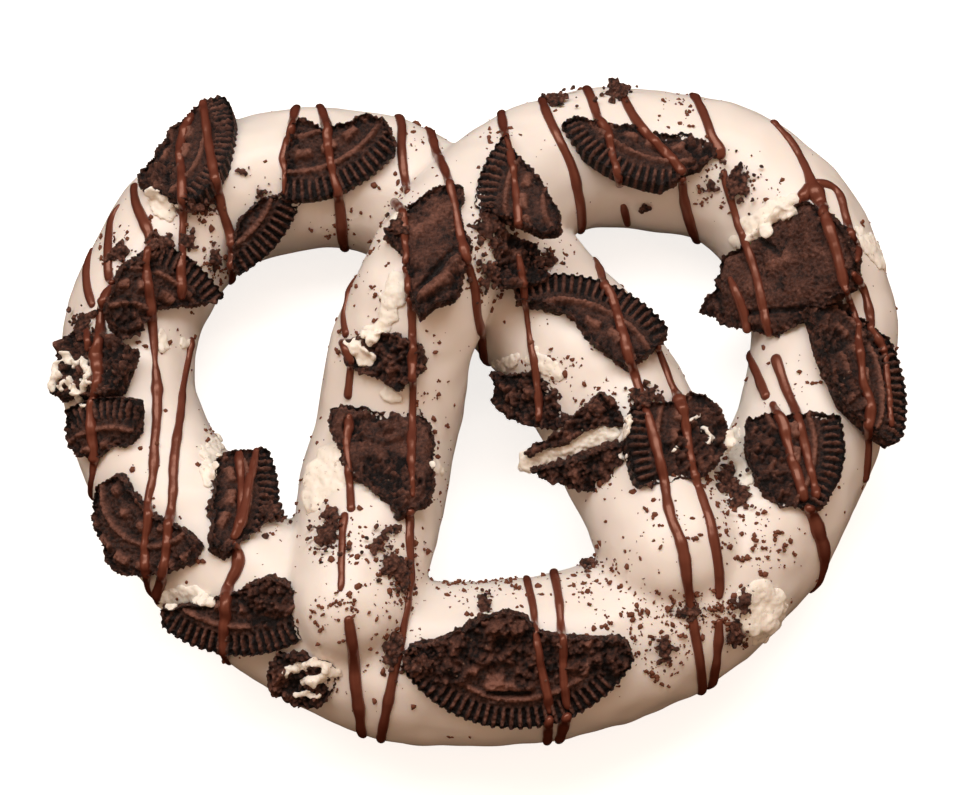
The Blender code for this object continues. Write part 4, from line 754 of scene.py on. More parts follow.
def through(points, step):
    """A smooth curve through the points (centripetal Catmull-Rom), sampled about every step."""
    points = np.array(points, float)
    ends = np.vstack([2 * points[0] - points[1], points, 2 * points[-1] - points[-2]])
    made = []
    for i in range(len(points) - 1):
        a, b, c, d = ends[i : i + 4]
        spans = [math.sqrt(np.linalg.norm(q[:3] - p[:3])) for p, q in ((a, b), (b, c), (c, d))]
        knots = np.cumsum([0] + spans)
        count = max(2, round(np.linalg.norm((c - b)[:3]) / step))
        for t in np.linspace(knots[1], knots[2], count, endpoint=False):
            ab = a + (b - a) * (t - knots[0]) / (knots[1] - knots[0])
            bc = b + (c - b) * (t - knots[1]) / (knots[2] - knots[1])
            cd = c + (d - c) * (t - knots[2]) / (knots[3] - knots[2])
            abc = ab + (bc - ab) * (t - knots[0]) / (knots[2] - knots[0])
            bcd = bc + (cd - bc) * (t - knots[1]) / (knots[3] - knots[1])
            made.append(abc + (bcd - abc) * (t - knots[1]) / (knots[2] - knots[1]))
    return np.array(made + [points[-1]])


def skin_rings(shape, rings):
    """Faces between rings of equal count, and over both ends."""
    for below, above in zip(rings, rings[1:]):
        for i in range(len(below)):
            j = (i + 1) % len(below)
            shape.faces.new((below[i], below[j], above[j], above[i]))
    shape.faces.new(list(reversed(rings[0])))
    shape.faces.new(rings[-1])


def sight(across, up):
    """The direction from the eye to a place in the view."""
    return ((VIEW_MIDDLE + RIGHT * across + HIGH * up) * MM - EYE).normalized()


def as_seen(places):
    """Where places in the model show in the view: across and up, in millimetres."""
    right, high, back = (np.array(axis) for axis in (RIGHT, HIGH, BACK))
    eye = np.array(EYE) / MM
    rays = places / MM - eye
    onto = eye + rays * (VIEW_DISTANCE / -(rays @ back))[:, None] - np.array(VIEW_MIDDLE)
    return onto @ right, onto @ high


def surface_tree(thing):
    """A finished object's surface, for finding points on it."""
    return BVHTree.FromObject(thing, bpy.context.evaluated_depsgraph_get())


def hit(trees, across, up):
    """The point and normal of the first surface met at a place in the view, or None."""
    casts = [tree.ray_cast(EYE, sight(across, up)) for tree in trees.values()]
    found = [(point, normal, far) for point, normal, _, far in casts if point is not None]
    return min(found, key=lambda one: one[2])[:2] if found else None


def on_coating(coat, across, up):
    """The point of the coating at a place in the view, or the nearest one to a place off its edge."""
    met = hit({"coat": coat}, across, up)
    if met:
        return met[0]
    reach = [EYE + sight(across, up) * (VIEW_DISTANCE + step) * MM for step in range(-25, 15)]
    return min(((coat.find_nearest(p)[3], p) for p in reach), key=lambda one: one[0])[1]


def coating_slope(coat, across, up):
    """The slope of the coating's normal, averaged around a place in the view."""
    around = [(0, 0), (SLOPE_REACH, 0), (-SLOPE_REACH, 0), (0, SLOPE_REACH), (0, -SLOPE_REACH)]
    met = [hit({"coat": coat}, across + a, up + b) for a, b in around]
    normal = sum((one[1] for one in met if one), Vector())
    return normal.x / normal.z, normal.y / normal.z


def plane_at(coat, at, lean, raised, tall):
    """A plane's matrix, sunk into the coating and raised, leaning by a slope.

    It lies so that the middle of a slab of this height on it shows at the place in the view.
    """
    lean = lean or coating_slope(coat, *at)
    normal = Vector((lean[0], lean[1], 1)).normalized()
    side = Vector((0, 1, 0)).cross(normal).normalized()
    turn = Matrix((side, normal.cross(side), normal)).transposed().to_4x4()
    point = on_coating(coat, *at)
    plane = Matrix.Translation(point + normal * ((raised - SINK) * MM)) @ turn
    above = normal * (raised - SINK + tall / 2)
    back = as_shown(plane, (-above.dot(RIGHT), -above.dot(HIGH)))
    return plane @ Matrix.Translation((back.x, back.y, 0))


def as_shown(plane, place):
    """The point of a plane that shows at an offset from its middle, in the plane's own metres."""
    turn = plane.to_3x3()
    one, two = turn.col[0], turn.col[1]
    seen = Matrix(((one.dot(RIGHT), two.dot(RIGHT)), (one.dot(HIGH), two.dot(HIGH))))
    nearness = 1 - (plane.translation / MM - VIEW_MIDDLE).dot(BACK) / VIEW_DISTANCE
    return seen.inverted() @ (Vector(place) * nearness * MM)


def jagged(corners, step, jag, draw):
    """A broken outline: more points along each side, each pushed in or out by chance."""
    made = []
    for a, b in zip(corners, corners[1:] + corners[:1]):
        side = b - a
        count = max(1, round(side.length / step))
        across = Vector((-side.y, side.x)).normalized()
        for k in range(count):
            push = draw.uniform(-jag, jag) * (1 if k else 0.4)
            made.append(a + side * (k / count) + across * push)
    return made


def distance_to(places, outline):
    """How far points of a plane, in metres, are from an outline, in millimetres."""
    nearest = np.full(len(places), np.inf)
    for a, b in zip(outline, outline[1:] + outline[:1]):
        start, side = np.array(a), np.array(b) - np.array(a)
        share = np.clip(((places - start) @ side) / (side @ side), 0, 1)
        nearest = np.minimum(nearest, np.linalg.norm(places - start - share[:, None] * side, axis=1))
    return nearest / MM


def rope_of_dough(lumps, shrinkage):
    """The coated rope as one tube with round ends, which runs through itself where the arms cross."""
    route = through(LEFT_LOOP[::-1] + RIGHT_LOOP[1:], ROPE_STEP)
    centre, radius = route[:, :3], route[:, 3] + shrinkage
    along = np.gradient(centre, axis=0)
    along /= np.linalg.norm(along, axis=1)[:, None]
    stations = list(zip(centre, along, radius))
    caps = np.linspace(math.radians(80), 0, 8, endpoint=False)
    for turns, end, way in ((caps, 0, -1), (caps[::-1], -1, 1)):
        middle, forward, size = centre[end], along[end], radius[end]
        dome = [(middle + way * forward * size * math.sin(a), forward, size * math.cos(a)) for a in turns]
        stations = dome + stations if end == 0 else stations + dome
    shape = bmesh.new()
    rings = []
    for middle, forward, size in stations:
        side = np.cross(forward, (0, 0, 1))
        side /= np.linalg.norm(side)
        above = np.cross(side, forward)
        ring = []
        for k in range(ROPE_SIDES):
            turn = 2 * math.pi * k / ROPE_SIDES
            out = side * math.cos(turn) + above * math.sin(turn)
            lump = 1 + lumps * noise.noise(Vector(middle + out * size) / ROPE_LUMPS)
            ring.append(shape.verts.new(Vector((middle + out * size * lump) * MM)))
        rings.append(ring)
    skin_rings(shape, rings)
    return mesh_object("white_chocolate_coating", shape)


def flatten_foot(thing):
    """Cuts the underside level where the coating set on its tray."""
    shape = bmesh.new()
    shape.from_mesh(thing.data)
    everything = shape.verts[:] + shape.edges[:] + shape.faces[:]
    bmesh.ops.bisect_plane(
        shape, geom=everything, dist=0.02 * MM, plane_co=(0, 0, 0), plane_no=(0, 0, 1), clear_inner=True)
    rim = [edge for edge in shape.edges if edge.is_boundary]
    bmesh.ops.triangle_fill(shape, use_beauty=True, use_dissolve=False, edges=rim)
    bmesh.ops.recalc_face_normals(shape, faces=shape.faces)
    shape.to_mesh(thing.data)
    shape.free()


def dress(thing, finish, slot, *nodes):
    """Gives a finished piece its material, the body that it rides on and what it stands for. The slot is not
    used.
    """
    thing.data.materials.clear()
    thing.data.materials.append(finish)
    thing.data.shade_smooth()
    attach(thing, "root")
    if nodes:
        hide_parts(*nodes)


def wafer_block(name, hub, outline, thickness, radius):
    """A slab over a broken outline, cut to the wafer's round where the piece has some of its rim."""
    shape = bmesh.new()
    rings = [[shape.verts.new((p.x, p.y, z)) for p in outline] for z in (0, thickness * MM)]
    skin_rings(shape, rings)
    block = mesh_object(name, shape)
    if hub is not None:
        disc = bmesh.new()
        bmesh.ops.create_cone(disc, cap_ends=True, segments=180, radius1=radius * MM, radius2=radius * MM,
                              depth=4 * thickness * MM, matrix=Matrix.Translation((hub.x, hub.y, 0)))
        round_cut = mesh_object("round", disc)
        cut = block.modifiers.new("round", "BOOLEAN")
        cut.operation = "INTERSECT"
        cut.solver = "MANIFOLD"
        cut.object = round_cut
        bake(block)
        drop(round_cut)
    return block


def raised_pattern(radius, turn):
    """The height of a wafer's pressed pattern, in millimetres: plain rings, dashes and dots."""
    height = np.zeros_like(radius)
    for where, half, tall in RAISED_RINGS:
        height += tall * np.exp(-((radius - where) / half) ** 4)
    dash = RAISED_DASHES
    beat = (turn * dash["count"] / (2 * math.pi)) % 1 - 0.5
    along = ease(dash["share"] / 2 + 0.06, dash["share"] / 2 - 0.06, np.abs(beat))
    height += dash["height"] * along * np.exp(-((radius - dash["radius"]) / dash["half_width"]) ** 4)
    dot = RAISED_DOTS
    beat = (turn * dot["count"] / (2 * math.pi)) % 1 - 0.5
    apart = np.hypot(beat * 2 * math.pi * dot["radius"] / dot["count"], radius - dot["radius"])
    return height + dot["height"] * np.exp(-(apart / dot["half_width"]) ** 4)


def mould_rim(flat, tall, sideways, hub, embossed, sizes):
    """What the mould gave a piece that has some of the rim.

    The height of its face in millimetres, how far each point is on the rim's side and in a groove between
    two ribs, and how far the grooves draw the side in, in metres.
    """
    from_hub = flat - np.array(hub)
    far = np.linalg.norm(from_hub, axis=1)
    radius, outer, depth = far / MM, sizes.radius / MM, sizes.rib_depth / MM
    turn = np.arctan2(from_hub[:, 1], from_hub[:, 0])
    groove = ease(0.25, 0.70, 0.5 - 0.5 * np.cos(turn * WAFER_RIBS))
    band = ease(*RIB_BAND, radius)
    side = ease(outer - 1.1, outer - 0.35, radius) * sideways
    height = -band * groove * depth - RIM_DROP * ease(outer - 1.3, outer + 0.1, radius)
    if embossed:
        height += raised_pattern(radius, turn) - FACE_DEPTH * (1 - band)
    outwards = from_hub / np.maximum(far, 1e-9)[:, None]
    drawn_in = outwards * (side * groove * depth * 0.4 * ease(-0.5, 1.5, tall))[:, None] * MM
    return height, side, groove, drawn_in


def pressed_boss(flat, middle):
    """The height of an oval pressed in rings, in millimetres."""
    apart = np.linalg.norm((flat - np.array(middle)) * np.array(BOSS["stretch"]), axis=1) / MM
    height = -BOSS["depth"] * ease(BOSS["reach"] + 0.4, BOSS["reach"] - 0.4, apart)
    for where in BOSS["rings"]:
        height += BOSS["height"] * np.exp(-((apart - where) / BOSS["half_width"]) ** 4)
    return height


def carve_cookie(thing, marks, outline, face, sizes, seed):
    """Gives a plain slab of wafer its ribs, its pressed pattern and its crumbling broken sides."""
    mesh = thing.data
    places, normals = points_of(mesh)
    flat, tall = places[:, :2], places[:, 2] / MM
    thick = sizes.thickness / MM
    upward = ease(0.5, 0.9, normals[:, 2]) * ease(0.5 * thick, 0.8 * thick, tall)
    sideways = 1 - ease(0.35, 0.75, np.abs(normals[:, 2]))
    inward = distance_to(flat, outline)
    big, small = perlin(places, BIG_LUMPS, seed), perlin(places, SMALL_LUMPS, seed + 1)
    grains, specks = granules(places, GRAINS, seed + 2), granules(places, SPECKS, seed + 5)
    fine = perlin(places, FINE_GRAIN, seed + 4)

    chipped = np.full(len(places), 1.0 if face == "crumbled" else 0.0)
    for middle, reach in marks["chips"]:
        apart = np.linalg.norm(flat - np.array(middle), axis=1) / MM
        chipped = np.maximum(chipped, ease(reach + 0.6, reach - 0.6, apart + 2.2 * big + 0.8 * small))
    whole = upward * (1 - chipped)
    chipped = upward * chipped

    pressed, rim, groove = np.zeros(len(places)), 0.0, 0.0
    move = np.zeros_like(places)
    if marks["hub"] is not None:
        pressed, rim, groove, drawn_in = mould_rim(
            flat, tall, sideways, marks["hub"], face == "embossed", sizes)
        move[:, :2] -= drawn_in
    if marks["boss"] is not None:
        pressed = pressed + pressed_boss(flat, marks["boss"])
    scored = np.zeros(len(places))
    for start, end, half, height in marks["bars"]:
        scored += height * np.exp(-(distance_to(flat, [start, end]) / half) ** 4)
    lift = whole * pressed * (1 + 0.7 * big) + upward * scored

    rubble = 1.5 * big + 1.5 * (grains - 0.62) + 0.9 * small + 0.9 * (specks - 0.55)
    lift += chipped * np.clip(rubble, *RUBBLE_RANGE)
    if face == "plain":
        lift += whole * (1.4 * perlin(places, PLAIN_WAVES, seed + 3) + 0.5 * big + 0.25 * small)
        lift -= whole * 0.9 * ease(1.8, 0.0, inward)
    else:
        lift += whole * (0.45 * perlin(places, FACE_WAVES, seed + 3) + 0.30 * small)
    worn = whole * ease(sizes.crumbling / MM * 1.7, 0.1, inward + 1.8 * big)
    lift -= worn * (0.35 + 1.0 * (1 - grains) + 0.5 * np.abs(small))
    lift = np.maximum(lift, -DEEPEST_CUT) + whole * (0.3 * (specks - 0.6) + 0.35 * fine)

    broken = np.maximum(np.maximum(sideways * (1 - rim), worn), chipped)
    push = broken * (0.75 * big + 0.6 * (grains - 0.6) + 0.4 * small) * (1 - upward)
    push += broken * (0.5 * (specks - 0.6) + 0.4 * fine) + (1 - broken) * 0.15 * fine
    move += normals * (push * MM)[:, None]
    move[:, 2] += lift * MM
    move_points(mesh, places + move)

    # The shade is painted shade and light by height, kept for the material: darker in rib grooves, pressed
    # hollows, scored grooves and between grains, lighter on raised marks, ridges, lumps and grain crests.
    if marks["hub"] is not None:
        shade = whole * (pressed + scored + 0.2) - rim * groove * 1.2
    else:
        shade = upward * (0.6 * scored + 0.35 * big + 0.5 * (specks - 0.55))
    shade += broken * (1.1 * (grains - 0.6) + 0.9 * (specks - 0.55)) + 0.6 * chipped * big
    note(mesh, "broken", broken)
    note(mesh, "painted_relief_shade", shade)


def note(mesh, name, values):
    """Keeps a number for each vertex on the mesh, for its material."""
    mark = mesh.attributes.new(name, "FLOAT", "POINT")
    mark.data.foreach_set("value", np.broadcast_to(values, len(mesh.vertices)).astype(np.float32))


def lumpy_mass(name, balls, seed, voxel, smoothing, roughness, flatness=1.0, angular=0.0):
    """One rough lump from balls given as (place, radius, normal), in metres.

    They are flattened along the normal, and angular makes them uneven crumbs instead of round.
    """
    shape = bmesh.new()
    bmesh.ops.create_icosphere(shape, subdivisions=1 if angular else 2, radius=1)
    ball = np.array([vert.co for vert in shape.verts])
    faces = np.array([[vert.index for vert in face.verts] for face in shape.faces])
    shape.free()
    verts = []
    chance = np.random.default_rng(seed)
    for place, radius, normal in balls:
        turn = Vector((0, 0, 1)).rotation_difference(normal).to_matrix()
        uneven = ball * (1 + angular * chance.uniform(-1, 1, (len(ball), 1)))
        verts.append((uneven * (1, 1, flatness)) @ np.array(turn).T * radius + np.array(place))
    mesh = bpy.data.meshes.new(name)
    every = np.vstack([faces + len(ball) * k for k in range(len(balls))])
    mesh.from_pydata(np.vstack(verts).tolist(), [], every.tolist())
    lump = bpy.data.objects.new(name, mesh)
    bpy.context.scene.collection.objects.link(lump)
    remeshed(lump, voxel, smoothing)
    places, normals = points_of(lump.data)
    grains = granules(places, 0.75, seed + 1)
    rough = roughness * (perlin(places, 1.0, seed) + 0.9 * (grains - 0.6))
    move_points(lump.data, places + normals * (rough * MM)[:, None])
    note(lump.data, "broken", 1.0)
    # Painted light and shade for a material that reads it: paler on the grains' crests, darker between them,
    # and a little paler overall.
    note(lump.data, "painted_relief_shade", 0.3 + 1.6 * (grains - 0.6))
    return lump


def dabs(trees, smears, draw):
    """Balls of filling along smears of (points, width): each one's place, size and normal."""
    made = []
    for points, width in smears:
        for across, up, _ in through([(*p, 0) for p in points], SMEAR_STEP):
            for _ in range(DABS):
                met = hit(trees, across + draw.gauss(0, width / 4), up + draw.gauss(0, width / 4))
                if met:
                    size = width * draw.uniform(0.25, 0.5) * MM
                    made.append((met[0] + met[1] * draw.uniform(0.0, 0.3) * MM, size, met[1]))
    return made


def heap(coat, facts, grain, draw):
    """Balls of filling heaped inside an outline on its own plane: each one's place, size and normal."""
    plane = plane_at(coat, facts["at"], facts["lean"], facts["raised"], facts["tall"])
    outline = [as_shown(plane, c) for c in facts["outline"]]
    low = [min(p[k] for p in outline) for k in (0, 1)]
    high = [max(p[k] for p in outline) for k in (0, 1)]
    room = (high[0] - low[0]) * (high[1] - low[1]) / MM**2
    made = []
    while len(made) < HEAP_LEAST + HEAP_DENSITY * room:
        spot = Vector((draw.uniform(low[0], high[0]), draw.uniform(low[1], high[1])))
        if inside(spot, outline):
            tall = facts["tall"] * draw.uniform(0.2, 0.75) * MM
            size = grain * draw.uniform(1.4, 3.0)
            made.append((plane @ Vector((spot.x, spot.y, tall)), size, plane.col[2].xyz))
    return made


def inside(place, outline):
    """Whether a point of a plane is inside an outline."""
    odd = False
    for a, b in zip(outline, outline[1:] + outline[:1]):
        if (a.y > place.y) != (b.y > place.y):
            if place.x < (b.x - a.x) * (place.y - a.y) / (b.y - a.y) + a.x:
                odd = not odd
    return odd


def creep(coat, run, at_start):
    """Carries a stripe on round the coating past the edge of what shows, thinner as it goes."""
    rows = run[::-1] if at_start else run
    (before, _, _), (point, normal, wide) = rows[-4], rows[-1]
    way = (point - before).normalized()
    for k in range(int(ROUND_EDGE / STRIPE_STEP)):
        found, turned, _, far = coat.find_nearest(point + way * STRIPE_STEP * MM)
        if found is None or far > 1.0 * MM or found.z < 1.5 * MM:
            break
        way = (found - point).normalized()
        point = found
        rows.append((point, turned, wide * (1 - 0.4 * (k + 1) * STRIPE_STEP / ROUND_EDGE)))
    return rows[::-1] if at_start else rows


def stripe_course(trees, points):
    """A stripe as it falls on what is below: stretches of (point, normal, width factor)."""
    runs, last, over_edge = [], None, False
    coat = trees["white_chocolate_coating"]
    for across, up, wide in through([(*p, 1.0)[:3] for p in points], STRIPE_STEP):
        met = hit(trees, across, up)
        if met is None:
            if last is not None:
                runs[-1]["off_end"] = True
            last, over_edge = None, True
            continue
        point, normal = met
        if last is None or (point - last[0]).length > LONGEST_DROP * MM:
            runs.append({"rows": [], "off_start": over_edge, "off_end": False})
        else:
            gap = (point - last[0]).length / (STRIPE_STEP * MM)
            for k in range(1, int(gap)):
                share = k / int(gap)
                runs[-1]["rows"].append((last[0].lerp(point, share), last[1].lerp(normal, share), wide))
        runs[-1]["rows"].append((point, normal, wide))
        last, over_edge = (point, normal), False
    made = []
    for run in runs:
        rows = run["rows"]
        if len(rows) > 5:
            rows = creep(coat, rows, True) if run["off_start"] else rows
            rows = creep(coat, rows, False) if run["off_end"] else rows
            made.append(rows)
    return made


def averaged(rows, reach):
    """Each row averaged with its neighbours within a reach."""
    padded = np.vstack([rows[:1].repeat(reach, 0), rows, rows[-1:].repeat(reach, 0)])
    return sum(padded[k : k + len(rows)] for k in range(2 * reach + 1)) / (2 * reach + 1)


def lay_bead(shape, run, sizes, draw):
    """Pipes one stretch of stripe: an oval bead with round ends that swells and thins as it falls."""
    points = np.array([p for p, _, _ in run])
    normals = np.array([n for _, n, _ in run])
    wide = np.array([w for _, _, w in run])
    shown = averaged(normals, 4)
    shown /= np.linalg.norm(shown, axis=1)[:, None]
    middle = averaged(points, 3)
    below = np.maximum(((points - middle) * shown).sum(axis=1), 0)
    middle += shown * averaged(below[:, None], 1)
    along = np.gradient(averaged(middle, 2), axis=0)
    along /= np.linalg.norm(along, axis=1)[:, None]
    start = draw.uniform(0, 90)
    swell = [1 + sizes.unevenness * sum(much * noise.noise(Vector((start + often * k, row, 0)))
                                        for much, often, row in SWELLS)
             for k in range(len(middle))]
    half = sizes.width / 2 * wide * np.array(swell)
    turns = [2 * math.pi * k / BEAD_SIDES for k in range(BEAD_SIDES)]
    stations = list(zip(middle, along, shown, half, half * BEAD_HEIGHT))
    for end, way in ((0, -1), (-1, 1)):
        centre, forward, normal, across, tall = stations[end]
        dome = [(centre + way * forward * across * math.sin(a), forward, normal,
                 across * math.cos(a), tall * math.cos(a)) for a in np.radians((25, 50, 72))]
        stations = dome[::-1] + stations if end == 0 else stations + dome
    rings = []
    for centre, forward, normal, across, tall in stations:
        side = np.cross(forward, normal)
        side /= max(np.linalg.norm(side), 1e-9)
        above = np.cross(side, forward)
        centre = centre + normal * (BEAD_RAISED * tall)
        rings.append([shape.verts.new(centre + side * across * math.cos(t) + above * tall * math.sin(t))
                      for t in turns])
    skin_rings(shape, rings)


def clumped_grains(trees):
    """The grains of every clump, a third of them bigger and nearer its middle: place, size and normal."""
    draw = random.Random("clumps")
    made = []
    for across, up, wide, high, count, largest in CLUMPS:
        for k in range(GRAINS_EACH * count):
            near, share = (1.7, 0.2) if k % 3 else (3.0, 0.3)
            met = hit(trees, across + draw.gauss(0, wide / near), up + draw.gauss(0, high / near))
            if met:
                size = largest * share * (1 + 1.6 * draw.random() ** 3) * MM
                made.append((met[0] + met[1] * draw.uniform(0.0, 0.8) * largest * MM, size, met[1]))
    return made


def crumb_shapes(count):
    """A collection of different angular crumbs, each about a metre across before it is scaled."""
    collection = bpy.data.collections.new("crumb shapes")
    draw = random.Random("crumb shapes")
    for number in range(count):
        shape = bmesh.new()
        for grain in range(3 if number % 2 else 1):
            ball = bmesh.ops.create_icosphere(shape, subdivisions=1, radius=0.36 if number % 2 else 0.5)
            aside = Vector([draw.uniform(-0.45, 0.45) for _ in range(3)]) if grain else Vector()
            for vert in ball["verts"]:
                vert.co = vert.co * (1 + draw.uniform(-0.4, 0.4)) + aside
        thing = mesh_object(f"crumb_shape_{number}", shape)
        bpy.context.scene.collection.objects.unlink(thing)
        collection.objects.link(thing)
    return collection


def crumb_scatter_tree(shapes, finish):
    """The node tree that strews crumbs over a surface, more where its dusting attribute is high."""
    tree = bpy.data.node_groups.new("Strew crumbs", "GeometryNodeTree")
    for name, kind in (("Geometry", "Geometry"), ("Amount", "Float"), ("Smallest", "Float"),
                       ("Largest", "Float"), ("Seed", "Int")):
        tree.interface.new_socket(name, in_out="INPUT", socket_type="NodeSocket" + kind)
    tree.interface.new_socket("Geometry", in_out="OUTPUT", socket_type="NodeSocketGeometry")
    given = add(tree, "NodeGroupInput").outputs
    dusting = add(tree, "GeometryNodeInputNamedAttribute", {"Name": "dusting"}, data_type="FLOAT")
    amount = worked(tree, "MULTIPLY", dusting, given["Amount"])
    strewn = add(tree, "GeometryNodeDistributePointsOnFaces", {
        "Mesh": given["Geometry"], "Density": amount, "Seed": given["Seed"]})
    pool = add(tree, "GeometryNodeCollectionInfo", {
        "Collection": shapes, "Separate Children": True, "Reset Children": True})
    chance = add(tree, "FunctionNodeRandomValue", {"Seed": given["Seed"]}, data_type="FLOAT")
    rarer = worked(tree, "POWER", chance.outputs[1], 2.4)
    size = add(tree, "ShaderNodeMapRange", {
        "Value": rarer, "To Min": given["Smallest"], "To Max": given["Largest"]})
    uneven = add(tree, "FunctionNodeRandomValue", {0: (0.75, 0.75, 0.6), 1: (1.25, 1.25, 0.95),
                                                   "Seed": 3}, data_type="FLOAT_VECTOR")
    scaled = add(tree, "ShaderNodeVectorMath", {0: uneven, 3: size}, operation="SCALE")
    spin = add(tree, "FunctionNodeRandomValue", {1: (6.28, 6.28, 6.28), "Seed": 5},
               data_type="FLOAT_VECTOR")
    laid = add(tree, "GeometryNodeInstanceOnPoints", {
        "Points": strewn, "Instance": pool, "Pick Instance": True,
        "Rotation": spin, "Scale": scaled})
    real = add(tree, "GeometryNodeRealizeInstances", {"Geometry": laid})
    painted = add(tree, "GeometryNodeSetMaterial", {"Geometry": real, "Material": finish})
    add(tree, "NodeGroupOutput", {"Geometry": painted})
    return tree


def set_inputs(modifier, **values):
    """Gives a Geometry Nodes modifier its inputs, by the identifiers of their sockets."""
    for item in modifier.node_group.interface.items_tree:
        if item.in_out == "INPUT" and item.name in values:
            modifier[item.identifier] = values[item.name]


def laid_trees():
    """The surfaces that stripes and crumbs fall on."""
    names = ["white_chocolate_coating"] + ["cookie_" + name for name in COOKIES]
    names += ["filling_" + name for name in FILLING] + ["filling_smears"]
    return {name: surface_tree(bpy.data.objects[name]) for name in names if name in bpy.data.objects}


def colour_of(name, description, value):
    """A colour that a user may change."""
    return FloatVectorProperty(name=name, description=description, subtype="COLOR", size=4, min=0, max=1,
                               default=hex_colour(value))


def length_of(name, description, millimetres):
    """A length that a user may change."""
    return FloatProperty(name=name, description=description, unit="LENGTH", min=0, default=millimetres * MM)


class CoatSizes(bpy.types.PropertyGroup):
    """The white chocolate coating."""

    colour: colour_of("Colour", "White chocolate in plain light", "#f4eae0")
    bloom_colour: colour_of("Bloom colour", "The paler mottling", "#faf1e8")
    voxel: FloatProperty(name="Grid", description="Size of the coating's faces, in millimetres",
                         default=0.85, min=0.5)
    lumps: FloatProperty(name="Lumps", description="Unevenness of the rope, as a share of its radius",
                         default=0.022, min=0)
    smoothing: IntProperty(name="Smoothing", description="Rounds that fill the creases", default=6, min=0)
    shrinkage: FloatProperty(name="Shrinkage", description="What smoothing takes off, in millimetres",
                             default=0.06, min=0)


class CookieSizes(bpy.types.PropertyGroup):
    """The wafer that every cookie piece is broken from."""

    colour: colour_of("Colour", "Cocoa wafer in plain light", "#59362a")
    # The dark and pale colours are the wafer's own range of tone, and also its painted shade in grooves and
    # pores and its painted light on crests and grains.
    dark_colour: colour_of("Dark colour", "Cocoa wafer in its pores", "#150b08")
    pale_colour: colour_of("Pale colour", "Cocoa wafer on its grains", "#916150")
    radius: length_of("Radius", "Radius of the whole wafer", 22.3)
    thickness: length_of("Thickness", "Thickness of one wafer", 3.4)
    rib_depth: length_of("Rib depth", "Depth of the grooves between the ribs", 1.0)
    crumbling: length_of("Crumbling", "How far in the broken edges are worn", 1.2)
    voxel: FloatProperty(name="Grid", description="Size of a cookie's faces, in millimetres",
                         default=0.21, min=0.18)


class FillingSizes(bpy.types.PropertyGroup):
    """The filling of the sandwich cookies."""

    colour: colour_of("Colour", "Vanilla filling", "#fff6e8")
    crumb_colour: colour_of("Crumb colour", "Crumb rubbed into the filling", "#8d6d5a")
    grain: length_of("Grain", "Radius of the filling's lumps", 0.7)


class StripeSizes(bpy.types.PropertyGroup):
    """The milk chocolate stripes."""

    colour: colour_of("Colour", "Milk chocolate in plain light", "#703b2d")
    dark_colour: colour_of("Dark colour", "Milk chocolate where it is darker", "#51271c")
    width: length_of("Width", "Usual width of a stripe", 1.78)
    unevenness: FloatProperty(name="Unevenness", description="How much a stripe swells and thins",
                              default=0.15, min=0, max=1)


class CrumbSizes(bpy.types.PropertyGroup):
    """The crumbs."""

    colour: colour_of("Colour", "Fine crumb where it is palest", "#8d5641")
    dark_colour: colour_of("Dark colour", "Fine crumb where it is darkest", "#52301f")
    smallest: length_of("Smallest", "Smallest crumb", 0.22)
    largest: length_of("Largest", "Largest fine crumb", 1.35)
    amount: FloatProperty(name="Amount", description="Share of the noted amount of crumbs",
                          default=2.3, min=0)
    seed: IntProperty(name="Seed", description="Changes where the crumbs fall", default=4)


class StageSizes(bpy.types.PropertyGroup):
    """The floor, the lights and the camera."""

    key_power: FloatProperty(name="Key light", description="Power of the broad light behind",
                             unit="POWER", default=6.3, min=0)
    fill_strength: FloatProperty(name="Fill", description="Strength of the soft light from above",
                                 default=0.355, min=0)
    glow: FloatProperty(name="Floor glow", description="Light that the floor gives off itself",
                        default=0.8, min=0)


class PRETZEL_OT_coating(bpy.types.Operator):
    """Makes the dipped rope, fused with itself and flat below"""

    bl_idname = "pretzel.coating"
    bl_label = "Coating"

    def execute(self, context):
        sizes = context.scene.pretzel_coat
        body = rope_of_dough(sizes.lumps, sizes.shrinkage)
        remeshed(body, sizes.voxel, sizes.smoothing)
        places, normals = points_of(body.data)
        waves = sum(height * perlin(places, length, seed) for height, length, seed in WAVES)
        move_points(body.data, places + normals * (waves * MM)[:, None])
        flatten_foot(body)
        dress(body, finish_of("white chocolate, dipped", white_chocolate), "white_chocolate",
              "coated_pretzel")
        return {"FINISHED"}


class PRETZEL_OT_cookies(bpy.types.Operator):
    """Makes the broken cookie pieces, each where its CAD node lies"""

    bl_idname = "pretzel.cookies"
    bl_label = "Cookie pieces"

    def execute(self, context):
        sizes = context.scene.pretzel_cookies
        finish = finish_of("cocoa wafer, baked and broken", cocoa_wafer)
        coat = surface_tree(bpy.data.objects["white_chocolate_coating"])
        for number, (name, facts) in enumerate(COOKIES.items()):
            draw = random.Random("shard_" + name)
            plane = plane_at(coat, facts["at"], facts.get("lean"), facts.get("raised", 0.0),
                             sizes.thickness / MM)
            corners = [as_shown(plane, c) for c in facts["corners"]]
            outline = jagged(corners, BREAK_STEP * MM, BREAK_JAG * MM, draw)
            hub, boss = (facts.get(key) and as_shown(plane, facts[key]) for key in ("hub", "boss"))
            chips = [(as_shown(plane, (x, y)), reach) for x, y, reach in facts.get("chips", [])]
            bars = [(as_shown(plane, one[:2]), as_shown(plane, one[2:4]), *one[4:])
                    for one in facts.get("bars", [])]
            marks = dict(hub=hub, boss=boss, chips=chips, bars=bars)
            piece = wafer_block("cookie_" + name, hub, outline, sizes.thickness / MM, sizes.radius / MM)
            remeshed(piece, sizes.voxel, 3)
            carve_cookie(piece, marks, outline, facts.get("face", "embossed"), sizes, 10 * number)
            piece.data.transform(plane)
            piece.data.update()
            dress(piece, finish, "cocoa_wafer", "shard_" + name)
        return {"FINISHED"}


